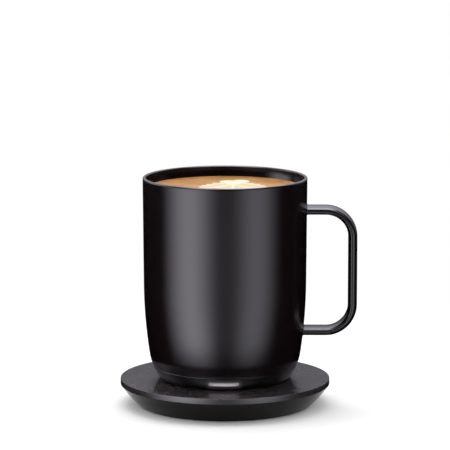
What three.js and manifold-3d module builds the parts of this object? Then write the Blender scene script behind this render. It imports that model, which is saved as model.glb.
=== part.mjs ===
// Self heating mug standing on its charging coaster.
// Millimetres, +Z up, handle towards +X, light bar towards -Y,
// origin at the middle of the coaster's underside.
// Run with the npm packages three and manifold-3d.

import * as THREE from 'three';
import { mergeVertices } from 'three/addons/utils/BufferGeometryUtils.js';
import Module from 'manifold-3d';

const wasm = await Module();
wasm.setup();

const quarterTurn = Math.PI / 2;
const halfTurn = Math.PI;
const wholeTurn = 2 * Math.PI;

// Fits and facets shared by every piece.
const clearance = 0.3;         // gap round a piece that goes into or against another
const overrun = 2;             // how far a cutting tool runs past what it cuts
const fullTurns = 44;          // facets round the large turned pieces
const middleTurns = 28;        // facets round the tray, the film and the pad
const smallTurns = 16;         // facets round the button and the charging rings
const pinTurns = 12;           // facets round pins and bosses
const screwTurns = 8;          // facets round screws and leads

// Outline of the mug: a slightly tapered wall, a long curve, then a tighter heel.
const mugHeight = 106.5;
const rimRadius = 43;
const wallTaper = 0.84;        // loss of radius from rim to foot along the straight wall
const flankStart = 50.4;       // height at which the wall starts to curve in
const flankRadius = 261;
const heelStart = 13.9;        // height at which the tighter curve takes over
const heelRadius = 28.7;

// Double wall.
const shellWall = 0.8;
const linerWall = 0.8;
const wallGap = 1.4;           // air between shell and liner
const lipWidth = 1.8;
const lipHeight = 1.6;         // rolled lip above the shell's top edge
const lipBlend = 9;            // height over which the lip thins to the liner's wall
const floorHeight = 22;        // drinking floor above the foot
const floorFillet = 10;
const seamHeight = 6.9;        // joint between the metal shell and the base band
const seamChamfer = 0.25;

// Handle: a flat strap bent to a D.
const handleStandoff = 23.6;   // rim to the middle of the upright bar
const handleDrop = 17.4;       // top of the mug to the middle of the upper bar
const handleBottom = 25.5;     // middle of the lower bar above the foot
const handleBend = 13.9;       // bend radius on the strap's middle line
const handleWidth = 13;
const handleOuterBulge = 2.6;  // from the middle line to the crowned outer side
const handleInnerBulge = 2.2;  // from the middle line to the flatter inner side
const handleRoot = 8;          // strap left inside the shell before it is cut to fit
const strapSquareness = 2.5;   // 2 is an ellipse, more is squarer
const bendSteps = 9;
const strapSides = 18;

// Base band, the plastic ring under the shell, and the cover that closes it.
const bandWall = 1.1;          // wall of the band just above its ledge
const footRound = 0.6;
const footWidth = 2.1;         // ring on which the mug stands
const coverRecess = 0.5;       // underside of the cover above the foot
const coverThickness = 1.2;
const ledgeThickness = 0.6;
const ledgeReach = 1.7;        // how far the ledge laps over the cover
const spigotClearance = 0.35;  // spigot to the shell's bottom edge
const sealDiameter = 1.1;
const sealDepth = 0.75;        // groove depth in the spigot

// Status light.
const lensWidth = 16;
const lensHeight = 2;
const lensRise = 1.1;          // middle of the light above the band's ledge
const lensInset = 0.5;         // how far the lens stands into the band's bore
const lensEndShare = 0.999;    // round of the lens ends over half its height
const ledWidth = 3.5;
const ledHeight = 1.6;
const ledDepth = 0.7;
const ledCount = 3;
const ledPitch = 5;
const ledBoardWidth = 15;
const ledBoardHeight = 4.4;
const ledBoardThickness = 0.8;

// Charging rings in the cover, concentric, so that the mug charges at any angle.
const innerRing = 5;
const outerRing = 10;
const ringWidth = 1.6;
const ringThickness = 0.6;
const ringPostRadius = 0.7;

// Power button under the mug, between the outer ring and the ledge.
const buttonRadius = 4.2;
const buttonSink = 0.2;        // face of the button inside the cover's underside
const buttonFlangeReach = 0.9;
const buttonFlange = 0.8;
const buttonStemRadius = 2;
const buttonStem = 0.5;
const domeHeight = 1;
const domeRadius = 2.4;
const domeWall = 0.25;
const switchSize = 6;
const switchHeight = 1.2;

// Main board and its parts. Places on it are shares of its radius.
const boardMargin = 4.2;       // board's edge inside the band's bore
const boardThickness = 1.2;
const boardTabWidth = 10;
const controllerSize = 8;
const controllerHeight = 1;
const controllerPlaceShares = [-0.33, 0.27];
const chargerSize = 5;
const chargerHeight = 0.9;
const chargerPlaceShares = [0.4, 0.2];
const inductorSize = 6.5;
const inductorHeight = 2.2;
const inductorRound = 1;
const inductorPlaceShares = [0.4, -0.2];

// Battery tray, its bosses and screws, and the two cells.
const trayDrop = 2.6;          // length of the tray's bosses
const trayFloor = 1.2;
const trayWall = 1.2;
const trayLip = 1.2;
const traySeat = 2;            // underside of the tray below the spigot's top
const bossCount = 3;
const bossInset = 6;           // bosses inside the board's edge
const bossRadius = 2.6;
const screwRadius = 1;
const screwHeadRadius = 2.1;
const screwHeadFlatShare = 0.8;
const screwHeadHeight = 1.1;
const screwShort = 0.5;        // end of a screw short of its bore's end
const cellLengthShare = 0.64;  // cell length over the width inside the tray
const cellMargin = 1.5;        // cell corners inside the tray's wall
const cellRound = 2;
const cellRib = 1.2;
const cellRibHeight = 2;

// Heater under the drinking floor, sensors and leads.
const heaterThickness = 0.3;
const heaterMargin = 0.4;      // heater film past its leads
const insulation = 3.7;        // pad between the cells and the heater
const insulationMargin = 1.4;  // pad short of the leads
const sensorRadius = 2;
const sensorHeight = 1.8;
const leadRadius = 0.6;
const leadInset = 2.3;         // leads inside the board's edge
const leadPitch = 3.2;
const leadBow = 1.2;
const levelStripWidth = 8;
const levelStripBottom = 42;
const levelStripHeight = 12;
const levelStripThickness = 0.4;

// Coaster: a flat plate on a shallow bowl.
const coasterHeight = 14;
const coasterRadius = 55;
const edgeHeight = 3;
const edgeChamfer = 0.4;
const edgeWidth = 2.4;         // solid rim of the plate
const plateThickness = 2;
const bowlStep = 0.3;          // bowl inside the plate's edge
const bowlFlare = 9.5;         // foot of the bowl inside the plate's edge
const bowlBulge = 0.6;
const bowlWall = 1.8;
const bowlFloor = 2.2;
const padThickness = 0.8;
const padProud = 0.4;          // foot pad below the bowl
const padMargin = 2;
const padRound = 0.2;
const coasterScrewCount = 4;
const coasterScrewInset = 7.5; // screws inside the foot pad's edge
const coasterBossRadius = 3.6;
const coasterScrewRadius = 1.4;
const coasterHeadRadius = 2.6;
const coasterHeadHeight = 1.3;
const coasterScrewLength = 6;

// Coaster board, on four posts, with the terminal for the supply lead.
const coasterBoardLength = 34;
const coasterBoardWidth = 22;
const standoffHeight = 1;
const standoffRadius = 2;
const terminalWidth = 9;
const terminalDepth = 5;
const terminalRoom = 2.3;      // terminal to the plate above it

// Sprung contact pins in the coaster.
const pinRadius = 1.25;
const pinTipRound = 0.5;
const pinShoulderRadius = 1.7;
const pinShoulder = 1.2;
const pinGuideRadius = 0.85;
const pinGuideShare = 0.35;    // guide inside the spring over the spring's room
const barrelWall = 0.6;
const barrelLip = 0.8;
const barrelFloor = 0.8;
const springWire = 0.4;
const springPitch = 0.8;
const springSteps = 8;         // steps of the spring's wire in one turn
const springSides = 5;

// Gland where the supply lead enters the coaster at the back.
const glandRadius = 2.6;
const glandBore = 1.5;
const glandDepth = 6.5;        // from the bowl's outside in to the gland's inner end
const glandProud = 1.8;        // beyond the bowl's outside
const glandFlangeReach = 0.5;
const glandFlangeThickness = 1.2;

// Heights above the mug's foot that follow from the sizes above.
const shellTop = mugHeight - lipHeight;
const handleTop = mugHeight - handleDrop;
const coverTop = coverRecess + coverThickness;
const ledgeTop = coverTop + ledgeThickness;
const lensCentre = ledgeTop + lensRise;
const buttonFlangeTop = coverTop + buttonFlange;
const buttonTop = buttonFlangeTop + buttonStem;
const domeTop = buttonTop + domeHeight;
const boardBottom = domeTop + switchHeight;
const boardTop = boardBottom + boardThickness;
const trayBottom = boardTop + trayDrop;
const trayTop = trayBottom + trayFloor;
const spigotTop = trayBottom + traySeat;
const sealCentre = (seamHeight + spigotTop) / 2;
const linerUnderside = floorHeight - linerWall;
const heaterBottom = linerUnderside - heaterThickness;
const cellTop = heaterBottom - insulation;

// Outline of the mug.

// Radius of the outside at a height above the foot.
function outerRadius(height) {
  const straight = rimRadius - wallTaper * (1 - height / mugHeight);
  if (height >= flankStart) return straight;
  const flankDrop = (h) => flankRadius - Math.sqrt(flankRadius ** 2 - (flankStart - h) ** 2);
  if (height >= heelStart) return straight - flankDrop(height);
  const startSine = (flankStart - heelStart) / flankRadius;
  const sine = startSine + (heelStart - height) / heelRadius;
  const heelDrop = heelRadius * (Math.sqrt(1 - startSine ** 2) - Math.sqrt(1 - sine ** 2));
  return straight - flankDrop(heelStart) - heelDrop;
}

// Radius of the liner's inside, which keeps its distance from the outside.
function cavityRadius(height) {
  const wall = outerRadius(height) - shellWall - wallGap - linerWall;
  const start = mugHeight - lipWidth / 2 - lipBlend;
  const share = THREE.MathUtils.smoothstep(height, start, start + lipBlend);
  return wall + share * (outerRadius(height) - lipWidth - wall);
}

// Radii that follow from the mug's outline.
const footRadius = outerRadius(0) - footRound;
const coverRadius = footRadius - footWidth - clearance;
const ledgeBore = coverRadius - ledgeReach;
const bandBore = outerRadius(ledgeTop) - bandWall;
const spigotRadius = outerRadius(seamHeight) - shellWall - spigotClearance;
const ledFront = bandBore - lensInset;
const buttonPlace = (outerRing + ringWidth / 2 + clearance + ledgeBore) / 2;
const boardRadius = bandBore - boardMargin;
const trayRadius = bandBore - clearance;
const leadPlace = boardRadius - leadInset;
const heaterRadius = leadPlace + leadRadius + heaterMargin;
const insulationRadius = leadPlace - leadRadius - insulationMargin;

// Heights above the table, and radii, of the coaster.
const edgeBottom = coasterHeight - edgeHeight;
const plateBottom = coasterHeight - plateThickness;
const bowlFloorTop = padThickness + bowlFloor;
const coasterBoardBottom = bowlFloorTop + standoffHeight;
const coasterBoardTop = coasterBoardBottom + boardThickness;
const bowlFoot = coasterRadius - bowlFlare;
const padRadius = bowlFoot - padMargin;

// Materials, coloured as they are in the photograph.
function finish(name, color, roughness, metalness = 0) {
  return new THREE.MeshStandardMaterial({ name, color, roughness, metalness });
}
const finishes = {
  coating: finish('coating', '#1d1b1d', 0.32, 0.2),
  glossBlack: finish('gloss_black', '#151315', 0.2),
  coasterBlack: finish('coaster_black', '#1b1a1c', 0.28),
  light: finish('light', '#f4f2f8', 0.3),
  rubber: finish('rubber', '#1c1c1d', 0.85),
  gold: finish('gold', '#c9a255', 0.25, 1),
  steel: finish('steel', '#a9abb0', 0.35, 1),
  board: finish('board', '#1f5a38', 0.5),
  chip: finish('chip', '#17181a', 0.45),
  tray: finish('tray', '#3b3d40', 0.6),
  cell: finish('cell', '#b9bcc2', 0.4, 0.6),
  heater: finish('heater', '#b5651d', 0.4),
  foam: finish('foam', '#d9d7d0', 0.9),
  lead: finish('lead', '#a3201c', 0.5),
};

// Solids.

// Turns a geometry into a manifold solid: shared vertices are merged first.
function toSolid(geometry) {
  geometry.deleteAttribute('normal');
  geometry.deleteAttribute('uv');
  const merged = mergeVertices(geometry);
  const index = merged.index.array;
  const kept = [];
  for (let i = 0; i < index.length; i += 3) {
    const [a, b, c] = [index[i], index[i + 1], index[i + 2]];
    if (a !== b && b !== c && c !== a) kept.push(a, b, c);
  }
  return new wasm.Manifold(new wasm.Mesh({
    numProp: 3,
    vertProperties: new Float32Array(merged.attributes.position.array),
    triVerts: new Uint32Array(kept),
  }));
}

function toGeometry(solid) {
  const mesh = solid.getMesh();
  const geometry = new THREE.BufferGeometry();
  geometry.setAttribute('position', new THREE.BufferAttribute(mesh.vertProperties, 3));
  geometry.setIndex(new THREE.BufferAttribute(mesh.triVerts, 1));
  geometry.computeVertexNormals();
  return geometry;
}

// Revolves a profile of [radius, height] points about the Z axis. A profile starts and ends
// on the axis, or is closed back to its first point here. It may be listed either way round.
function turned(profile, turns = smallTurns) {
  const onAxis = profile[0][0] === 0 && profile.at(-1)[0] === 0;
  const loop = onAxis ? [...profile] : [...profile, profile[0]];
  let area = 0;
  for (let i = 0; i < loop.length; i++) {
    const [r0, h0] = loop[i];
    const [r1, h1] = loop[(i + 1) % loop.length];
    area += (r0 * h1 - r1 * h0) / 2;
  }
  if (area < 0) loop.reverse();
  const points = loop.map(([r, h]) => new THREE.Vector2(r, h));
  return toSolid(new THREE.LatheGeometry(points, turns).rotateX(quarterTurn));
}

// A straight round bar or tube along Z.
function rod(radius, from, to, turns = smallTurns) {
  return turned([[0, from], [radius, from], [radius, to], [0, to]], turns);
}

function tube(inner, outer, from, to, turns = smallTurns) {
  return turned([[inner, from], [outer, from], [outer, to], [inner, to]], turns);
}

// A flat outline carried up along Z.
function plate(shape, from, to, curveSegments) {
  const options = { depth: to - from, bevelEnabled: false, curveSegments };
  return toSolid(new THREE.ExtrudeGeometry(shape, options).translate(0, 0, from));
}

// A rectangle with round corners, centred on the origin.
function roundedRectangle(width, length, round) {
  const [x, y] = [width / 2 - round, length / 2 - round];
  const shape = new THREE.Shape();
  shape.absarc(x, y, round, 0, quarterTurn);
  shape.absarc(-x, y, round, quarterTurn, halfTurn);
  shape.absarc(-x, -y, round, halfTurn, halfTurn + quarterTurn);
  shape.absarc(x, -y, round, halfTurn + quarterTurn, wholeTurn);
  return shape;
}

function box(width, length, from, to) {
  const geometry = new THREE.BoxGeometry(width, length, to - from);
  return toSolid(geometry.translate(0, 0, (from + to) / 2));
}

// Joins closed rings of points into a tube with flat ends.
function loft(rings) {
  const sides = rings[0].length;
  const position = [];
  const index = [];
  for (const ring of rings) for (const point of ring) position.push(point.x, point.y, point.z);
  for (let i = 0; i + 1 < rings.length; i++) {
    for (let j = 0; j < sides; j++) {
      const [a, b] = [i * sides + j, i * sides + (j + 1) % sides];
      index.push(a, b + sides, b, a, a + sides, b + sides);
    }
  }
  const last = (rings.length - 1) * sides;
  for (let j = 1; j + 1 < sides; j++) {
    index.push(0, j, j + 1);
    index.push(last, last + j + 1, last + j);
  }
  const geometry = new THREE.BufferGeometry();
  geometry.setAttribute('position', new THREE.Float32BufferAttribute(position, 3));
  geometry.setIndex(index);
  return toSolid(geometry);
}

// Evenly spaced values from one end to the other, both included.
function spaced(from, to, steps) {
  return Array.from({ length: steps + 1 }, (_, i) => from + (to - from) * i / steps);
}

// Places evenly round the axis at a radius, the first of them at a given angle.
function around(radius, count, first) {
  return Array.from({ length: count }, (_, i) => {
    const angle = first + wholeTurn * i / count;
    return [radius * Math.cos(angle), radius * Math.sin(angle)];
  });
}

// The round section of a wire, with a given number of sides.
function wireSection(radius, sides) {
  return new THREE.Shape(around(radius, sides, 0).map(([x, y]) => new THREE.Vector2(x, y)));
}

// Points of an arc round (r, h), from one angle to another.
function arc(r, h, radius, from, to, steps) {
  return spaced(from, to, steps).map(
    (angle) => [r + radius * Math.cos(angle), h + radius * Math.sin(angle)]);
}

// Shell and liner.

// Points up the outside, drawn in by a distance, with steps where the curve needs them.
function outsideProfile(from, inset, heelSteps, flankSteps) {
  const heights = [
    ...spaced(from, heelStart, heelSteps),
    ...spaced(heelStart, flankStart, flankSteps).slice(1),
    shellTop,
  ];
  return heights.map((height) => [outerRadius(height) - inset, height]);
}

function outerShell() {
  const outside = outsideProfile(seamHeight, 0, 3, 5);
  const bottom = outside.shift();
  const inside = outsideProfile(seamHeight, shellWall, 2, 3).reverse();
  return turned([
    [bottom[0] - seamChamfer, seamHeight],
    [outerRadius(seamHeight + seamChamfer), seamHeight + seamChamfer],
    ...outside,
    ...inside,
  ], fullTurns);
}

// The liner carries the rolled lip, whose flat underside sits on the shell's top edge.
function innerLiner() {
  const lipRadius = lipWidth / 2;
  const lipCentre = mugHeight - lipRadius;
  const blendStart = lipCentre - lipBlend;
  const wallFoot = floorHeight + floorFillet;
  const filletCentre = cavityRadius(wallFoot) - floorFillet;
  const cavity = [
    ...arc(rimRadius - lipRadius, lipCentre, lipRadius, 0, halfTurn, 5),
    ...spaced(lipCentre, blendStart, 3).slice(1).map((h) => [cavityRadius(h), h]),
    ...spaced(flankStart, wallFoot, 1).map((h) => [cavityRadius(h), h]),
    ...arc(filletCentre, wallFoot, floorFillet, 0, -quarterTurn, 5).slice(1),
  ];
  const back = [
    ...arc(filletCentre, wallFoot, floorFillet + linerWall, -quarterTurn, 0, 3),
    [cavityRadius(flankStart) + linerWall, flankStart],
    [cavityRadius(blendStart) + linerWall, blendStart],
    [outerRadius(shellTop) - shellWall - wallGap / 2, shellTop],
  ];
  return turned([
    ...cavity, [0, floorHeight], [0, linerUnderside], ...back, [outerRadius(shellTop), shellTop],
  ].reverse(), fullTurns);
}

// Handle.

// One section of the strap: crowned on the outer side, flatter on the inner side.
function strapSection(centre, outward) {
  const power = 2 / strapSquareness;
  return spaced(0, wholeTurn, strapSides).slice(0, -1).map((angle) => {
    const across = Math.sign(Math.sin(angle)) * Math.abs(Math.sin(angle)) ** power;
    const through = Math.sign(Math.cos(angle)) * Math.abs(Math.cos(angle)) ** power;
    const reach = through * (through > 0 ? handleOuterBulge : handleInnerBulge);
    const point = centre.clone().addScaledVector(outward, reach);
    point.y += across * handleWidth / 2;
    return point;
  });
}

// The strap runs out of the wall, round the upper bend, down, round the lower bend and back.
function handleStrap() {
  const cornerX = rimRadius + handleStandoff - handleBend;
  const rootX = outerRadius(handleTop) - handleRoot;
  const rings = [];
  const bend = (cornerZ, from, to) => {
    for (const angle of spaced(from, to, bendSteps)) {
      const outward = new THREE.Vector3(Math.cos(angle), 0, Math.sin(angle));
      const centre = new THREE.Vector3(cornerX, 0, cornerZ).addScaledVector(outward, handleBend);
      rings.push(strapSection(centre, outward));
    }
  };
  rings.push(strapSection(new THREE.Vector3(rootX, 0, handleTop), new THREE.Vector3(0, 0, 1)));
  bend(handleTop - handleBend, quarterTurn, 0);
  bend(handleBottom + handleBend, 0, -quarterTurn);
  rings.push(strapSection(new THREE.Vector3(rootX, 0, handleBottom), new THREE.Vector3(0, 0, -1)));
  return loft(rings);
}

// The strap's ends are cut to the curve of the shell.
function handle() {
  const wall = outsideProfile(seamHeight, -clearance, 3, 8);
  const cutter = turned([[0, seamHeight], ...wall, [0, shellTop]], fullTurns);
  return handleStrap().subtract(cutter);
}

// Base band, seal and status light.

function bandOutside() {
  return spaced(footRound, seamHeight - seamChamfer, 3).map((h) => [outerRadius(h), h]);
}

// A flat upright bar with round ends, from the mug's inside out through the band's front.
function lightBar(margin) {
  const width = lensWidth + 2 * margin;
  const height = lensHeight + 2 * margin;
  const shape = roundedRectangle(width, height, height / 2 * lensEndShare);
  const depth = rimRadius - ledFront + overrun;
  const options = { depth, bevelEnabled: false, curveSegments: 4 };
  const bar = new THREE.ExtrudeGeometry(shape, options).rotateX(quarterTurn);
  return toSolid(bar.translate(0, margin - ledFront, lensCentre));
}

// The ring stands on its foot, laps over the cover and rises into the shell as a spigot.
function baseBand() {
  const groove = (sealDiameter + clearance) / 2;
  const ring = turned([
    [coverRadius + clearance, 0],
    [footRadius, 0],
    ...bandOutside(),
    [outerRadius(seamHeight) - seamChamfer, seamHeight],
    [spigotRadius, seamHeight],
    [spigotRadius, sealCentre - groove],
    [spigotRadius - sealDepth, sealCentre - groove],
    [spigotRadius - sealDepth, sealCentre + groove],
    [spigotRadius, sealCentre + groove],
    [spigotRadius, spigotTop],
    [bandBore, spigotTop],
    [bandBore, ledgeTop],
    [ledgeBore, ledgeTop],
    [ledgeBore, coverTop],
    [coverRadius + clearance, coverTop],
  ], fullTurns);
  return ring.subtract(lightBar(clearance));
}

function baseSeal() {
  const radius = spigotRadius - sealDepth + (clearance + sealDiameter) / 2;
  return turned(arc(radius, sealCentre, sealDiameter / 2, 0, wholeTurn, 5).slice(0, -1), fullTurns);
}

function indicatorLens() {
  const top = seamHeight - seamChamfer;
  const outside = turned([[0, 0], [footRadius, 0], ...bandOutside(), [0, top]], fullTurns);
  return lightBar(0).intersect(outside);
}

function led() {
  return box(ledWidth, ledDepth, lensCentre - ledHeight / 2, lensCentre + ledHeight / 2);
}

// Charging rings, cover and button.

// A ring with one post up to the board. The post's side is 1 or -1.
function contactRing(radius, side) {
  const half = ringWidth / 2;
  const ring = tube(radius - half, radius + half, coverRecess, coverRecess + ringThickness);
  const post = rod(ringPostRadius, coverRecess + ringThickness / 2, boardBottom, screwTurns);
  return ring.add(post.translate(side * radius, 0, 0));
}

function bottomCover() {
  let cover = rod(coverRadius, coverRecess, coverTop, fullTurns);
  for (const [radius, side] of [[innerRing, 1], [outerRing, -1]]) {
    const half = ringWidth / 2 + clearance;
    const groove = tube(radius - half, radius + half, 0, coverRecess + ringThickness);
    const hole = rod(ringPostRadius + clearance, 0, coverTop + overrun, screwTurns);
    cover = cover.subtract(groove).subtract(hole.translate(side * radius, 0, 0));
  }
  const hole = rod(buttonRadius + clearance, 0, coverTop + overrun);
  return cover.subtract(hole.translate(0, -buttonPlace, 0));
}

function powerButton() {
  const flange = buttonRadius + buttonFlangeReach;
  return turned([
    [0, coverRecess + buttonSink],
    [buttonRadius, coverRecess + buttonSink],
    [buttonRadius, coverTop],
    [flange, coverTop],
    [flange, buttonFlangeTop],
    [buttonStemRadius, buttonFlangeTop],
    [buttonStemRadius, buttonTop],
    [0, buttonTop],
  ]);
}

// A shallow open cone that snaps when the button pushes it.
function switchDome() {
  const shoulder = buttonStemRadius / 2;
  return turned([
    [0, buttonTop], [shoulder, buttonTop], [domeRadius, domeTop],
    [domeRadius - domeWall, domeTop], [shoulder - domeWall, buttonTop + domeWall],
    [0, buttonTop + domeWall],
  ], pinTurns);
}

// Main board, battery tray and cells.

const bossPlaces = around(boardRadius - bossInset, bossCount, halfTurn);

// A round board with a tab that reaches the light board.
function mainBoard() {
  const tabHalf = boardTabWidth / 2;
  const tabReach = ledFront - ledDepth - ledBoardThickness;
  const halfAngle = Math.asin(tabHalf / boardRadius);
  const shape = new THREE.Shape();
  shape.moveTo(tabHalf, -tabReach);
  shape.absarc(0, 0, boardRadius, halfAngle - quarterTurn, wholeTurn - quarterTurn - halfAngle);
  shape.lineTo(-tabHalf, -tabReach);
  let board = plate(shape, boardBottom, boardTop, middleTurns);
  for (const [x, y] of bossPlaces) {
    const hole = rod(screwRadius + clearance, boardBottom - overrun, boardTop + overrun, screwTurns);
    board = board.subtract(hole.translate(x, y, 0));
  }
  return board;
}

// A dish that hangs by its flange on the spigot, with bosses down to the board.
function batteryTray() {
  const flangeRadius = spigotRadius - seamChamfer;
  let tray = turned([
    [0, trayBottom], [trayRadius, trayBottom], [trayRadius, spigotTop],
    [flangeRadius, spigotTop], [flangeRadius, spigotTop + trayLip],
    [trayRadius - trayWall, spigotTop + trayLip], [trayRadius - trayWall, trayTop], [0, trayTop],
  ], middleTurns);
  for (const [x, y] of bossPlaces) {
    const boss = rod(bossRadius, boardTop, trayBottom + trayFloor / 2, pinTurns);
    const bore = rod(screwRadius + clearance, boardTop - overrun, trayBottom, screwTurns);
    tray = tray.add(boss.translate(x, y, 0)).subtract(bore.translate(x, y, 0));
  }
  const rib = box(cellRib, 2 * cellHalfLength, trayTop - trayFloor / 2, trayTop + cellRibHeight);
  const slot = roundedRectangle(leadPitch + 4 * leadRadius, 4 * leadRadius, leadRadius);
  const leadSlot = plate(slot, trayBottom - overrun, trayTop + overrun, 3);
  return tray.add(rib).subtract(leadSlot.translate(0, leadPlace, 0));
}

function boardScrew() {
  const end = trayBottom - screwShort;
  return turned([
    [0, boardBottom - screwHeadHeight],
    [screwHeadRadius * screwHeadFlatShare, boardBottom - screwHeadHeight],
    [screwHeadRadius, boardBottom - screwHeadHeight / 2],
    [screwHeadRadius, boardBottom],
    [screwRadius, boardBottom], [screwRadius, end], [0, end],
  ], screwTurns);
}

// Two flat cells fill the tray: their outer corners keep a margin to its round wall.
const cellReach = trayRadius - trayWall - cellMargin;
const cellHalfLength = cellReach * cellLengthShare;
const cellCornerX = Math.sqrt((cellReach - cellRound) ** 2 - (cellHalfLength - cellRound) ** 2);
const cellInnerX = cellRib / 2 + clearance;
const cellWidth = cellCornerX + cellRound - cellInnerX;
const cellPlace = cellInnerX + cellWidth / 2;

function batteryCell() {
  return plate(roundedRectangle(cellWidth, 2 * cellHalfLength, cellRound), trayTop, cellTop, 2);
}

// Heater, pad, sensors and leads.

function heaterFilm() {
  return tube(sensorRadius + clearance, heaterRadius, heaterBottom, linerUnderside, middleTurns);
}

function insulationPad() {
  return tube(sensorRadius + clearance, insulationRadius, cellTop, heaterBottom, middleTurns);
}

function floorSensor() {
  return rod(sensorRadius, linerUnderside - sensorHeight, linerUnderside, pinTurns);
}

// A thin strip that follows the back of the liner, on the side away from the handle.
function levelStrip() {
  const top = levelStripBottom + levelStripHeight;
  const back = (height) => cavityRadius(height) + linerWall + clearance;
  const heights = spaced(levelStripBottom, top, 3);
  const ring = turned([
    ...heights.map((h) => [back(h), h]),
    ...heights.reverse().map((h) => [back(h) + levelStripThickness, h]),
  ], fullTurns);
  const window = box(rimRadius, levelStripWidth, levelStripBottom - overrun, top + overrun);
  return ring.intersect(window.translate(-rimRadius, 0, 0));
}

// A heater lead: bows out a little on its way down from the film to the board.
function heaterLead() {
  const points = spaced(0, 1, 6).map((share) => new THREE.Vector3(
    0,
    leadBow * Math.sin(halfTurn * share) ** 2,
    THREE.MathUtils.lerp(heaterBottom - clearance, boardTop + clearance, share),
  ));
  const options = { extrudePath: new THREE.CatmullRomCurve3(points), steps: 10 };
  return toSolid(new THREE.ExtrudeGeometry(wireSection(leadRadius, screwTurns), options));
}

// Coaster.

const coasterScrewPlaces = around(padRadius - coasterScrewInset, coasterScrewCount, quarterTurn / 2);
const pinPlaces = [-innerRing, outerRing];

// The plate, with its edge turned down, four screw bosses and a hole for each pin.
function coasterTop() {
  let top = turned([
    [0, plateBottom], [coasterRadius - edgeWidth, plateBottom],
    [coasterRadius - edgeWidth, edgeBottom], [coasterRadius, edgeBottom],
    [coasterRadius, coasterHeight - edgeChamfer], [coasterRadius - edgeChamfer, coasterHeight],
    [0, coasterHeight],
  ], fullTurns);
  for (const [x, y] of coasterScrewPlaces) {
    const boss = rod(coasterBossRadius, bowlFloorTop, plateBottom + plateThickness / 2, pinTurns);
    const bore = rod(coasterScrewRadius + clearance, bowlFloorTop - overrun,
      bowlFloorTop + coasterScrewLength, screwTurns);
    top = top.add(boss.translate(x, y, 0)).subtract(bore.translate(x, y, 0));
  }
  for (const place of pinPlaces) {
    const hole = rod(pinRadius + clearance, plateBottom - overrun, coasterHeight + overrun, pinTurns);
    top = top.subtract(hole.translate(place, 0, 0));
  }
  return top;
}

// The bowl's outside from its foot to the plate is a shallow arc.
function bowlRadius(height) {
  const rim = coasterRadius - bowlStep;
  const share = (height - padProud) / (edgeBottom - padProud);
  return THREE.MathUtils.lerp(bowlFoot, rim, share) + 4 * bowlBulge * share * (1 - share);
}

function bowlSide(inset, from, to, steps) {
  return spaced(from, to, steps).map((height) => [bowlRadius(height) - inset, height]);
}

const coasterBoardPlace = (outerRing - innerRing) / 2;
const standoffPlaces = [-1, 1].flatMap((sideX) => [-1, 1].map((sideY) => [
  coasterBoardPlace + sideX * (coasterBoardLength / 2 - standoffRadius),
  sideY * (coasterBoardWidth / 2 - standoffRadius),
]));

// The bowl has a pocket for the foot pad, sunk screw holes, posts for the board
// and a hole for the gland.
function coasterBowl() {
  const inset = bowlWall * Math.SQRT2;
  let bowl = turned([
    [0, padThickness], [padRadius + clearance, padThickness], [padRadius + clearance, padProud],
    ...bowlSide(0, padProud, edgeBottom, 4),
    ...bowlSide(inset, bowlFloorTop, edgeBottom, 2).reverse(),
    [0, bowlFloorTop],
  ], fullTurns);
  for (const [x, y] of coasterScrewPlaces) {
    const head = rod(coasterHeadRadius + clearance, padThickness - overrun,
      padThickness + coasterHeadHeight, pinTurns);
    const shank = rod(coasterScrewRadius + clearance, padThickness - overrun,
      bowlFloorTop + overrun, screwTurns);
    bowl = bowl.subtract(head.add(shank).translate(x, y, 0));
  }
  for (const [x, y] of standoffPlaces) {
    const post = rod(standoffRadius, bowlFloorTop - bowlFloor / 2, coasterBoardBottom, screwTurns);
    bowl = bowl.add(post.translate(x, y, 0));
  }
  return bowl.subtract(glandBody(clearance, false));
}

function footPad() {
  return turned([
    [0, 0], [padRadius - padRound, 0], [padRadius, padRound],
    [padRadius, padThickness], [0, padThickness],
  ], fullTurns);
}

function coasterScrew() {
  const end = bowlFloorTop + coasterScrewLength - screwShort;
  const headTop = padThickness + coasterHeadHeight;
  return turned([
    [0, padThickness], [coasterHeadRadius, padThickness], [coasterHeadRadius, headTop],
    [coasterScrewRadius, headTop], [coasterScrewRadius, end], [0, end],
  ], screwTurns);
}

function coasterBoard() {
  const shape = roundedRectangle(coasterBoardLength, coasterBoardWidth, standoffRadius);
  return plate(shape, coasterBoardBottom, coasterBoardTop, 2);
}

function leadTerminal() {
  return box(terminalWidth, terminalDepth, coasterBoardTop, plateBottom - terminalRoom);
}

// Gland: a rubber bush with a flange inside the wall, its axis level and pointing back.
// Without its bore, and with a margin, it is the tool that cuts the hole for it.
function glandBody(margin, bored) {
  const axisHeight = (bowlFloorTop + edgeBottom) / 2;
  const outside = bowlRadius(axisHeight);
  const radius = glandRadius + margin;
  const start = outside - glandDepth - margin;
  const flangeEnd = outside - glandDepth + glandFlangeThickness;
  const end = outside + glandProud + (bored ? 0 : overrun);
  const inner = bored ? glandBore : 0;
  const profile = [
    [inner, start], [radius + glandFlangeReach, start], [radius + glandFlangeReach, flangeEnd],
    [radius, flangeEnd], [radius, end], [inner, end],
  ];
  return turned(profile, pinTurns).rotate([-90, 0, 0]).translate(0, 0, axisHeight);
}

// Contact pins. Each slides in a barrel on the board, and its spring pushes it up.

const pinTop = coasterHeight + coverRecess;
const barrelLipBottom = plateBottom - barrelLip;
const shoulderBottom = barrelLipBottom - pinShoulder;
const barrelBore = pinShoulderRadius + clearance;
const springBottom = coasterBoardTop + barrelFloor;

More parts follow.
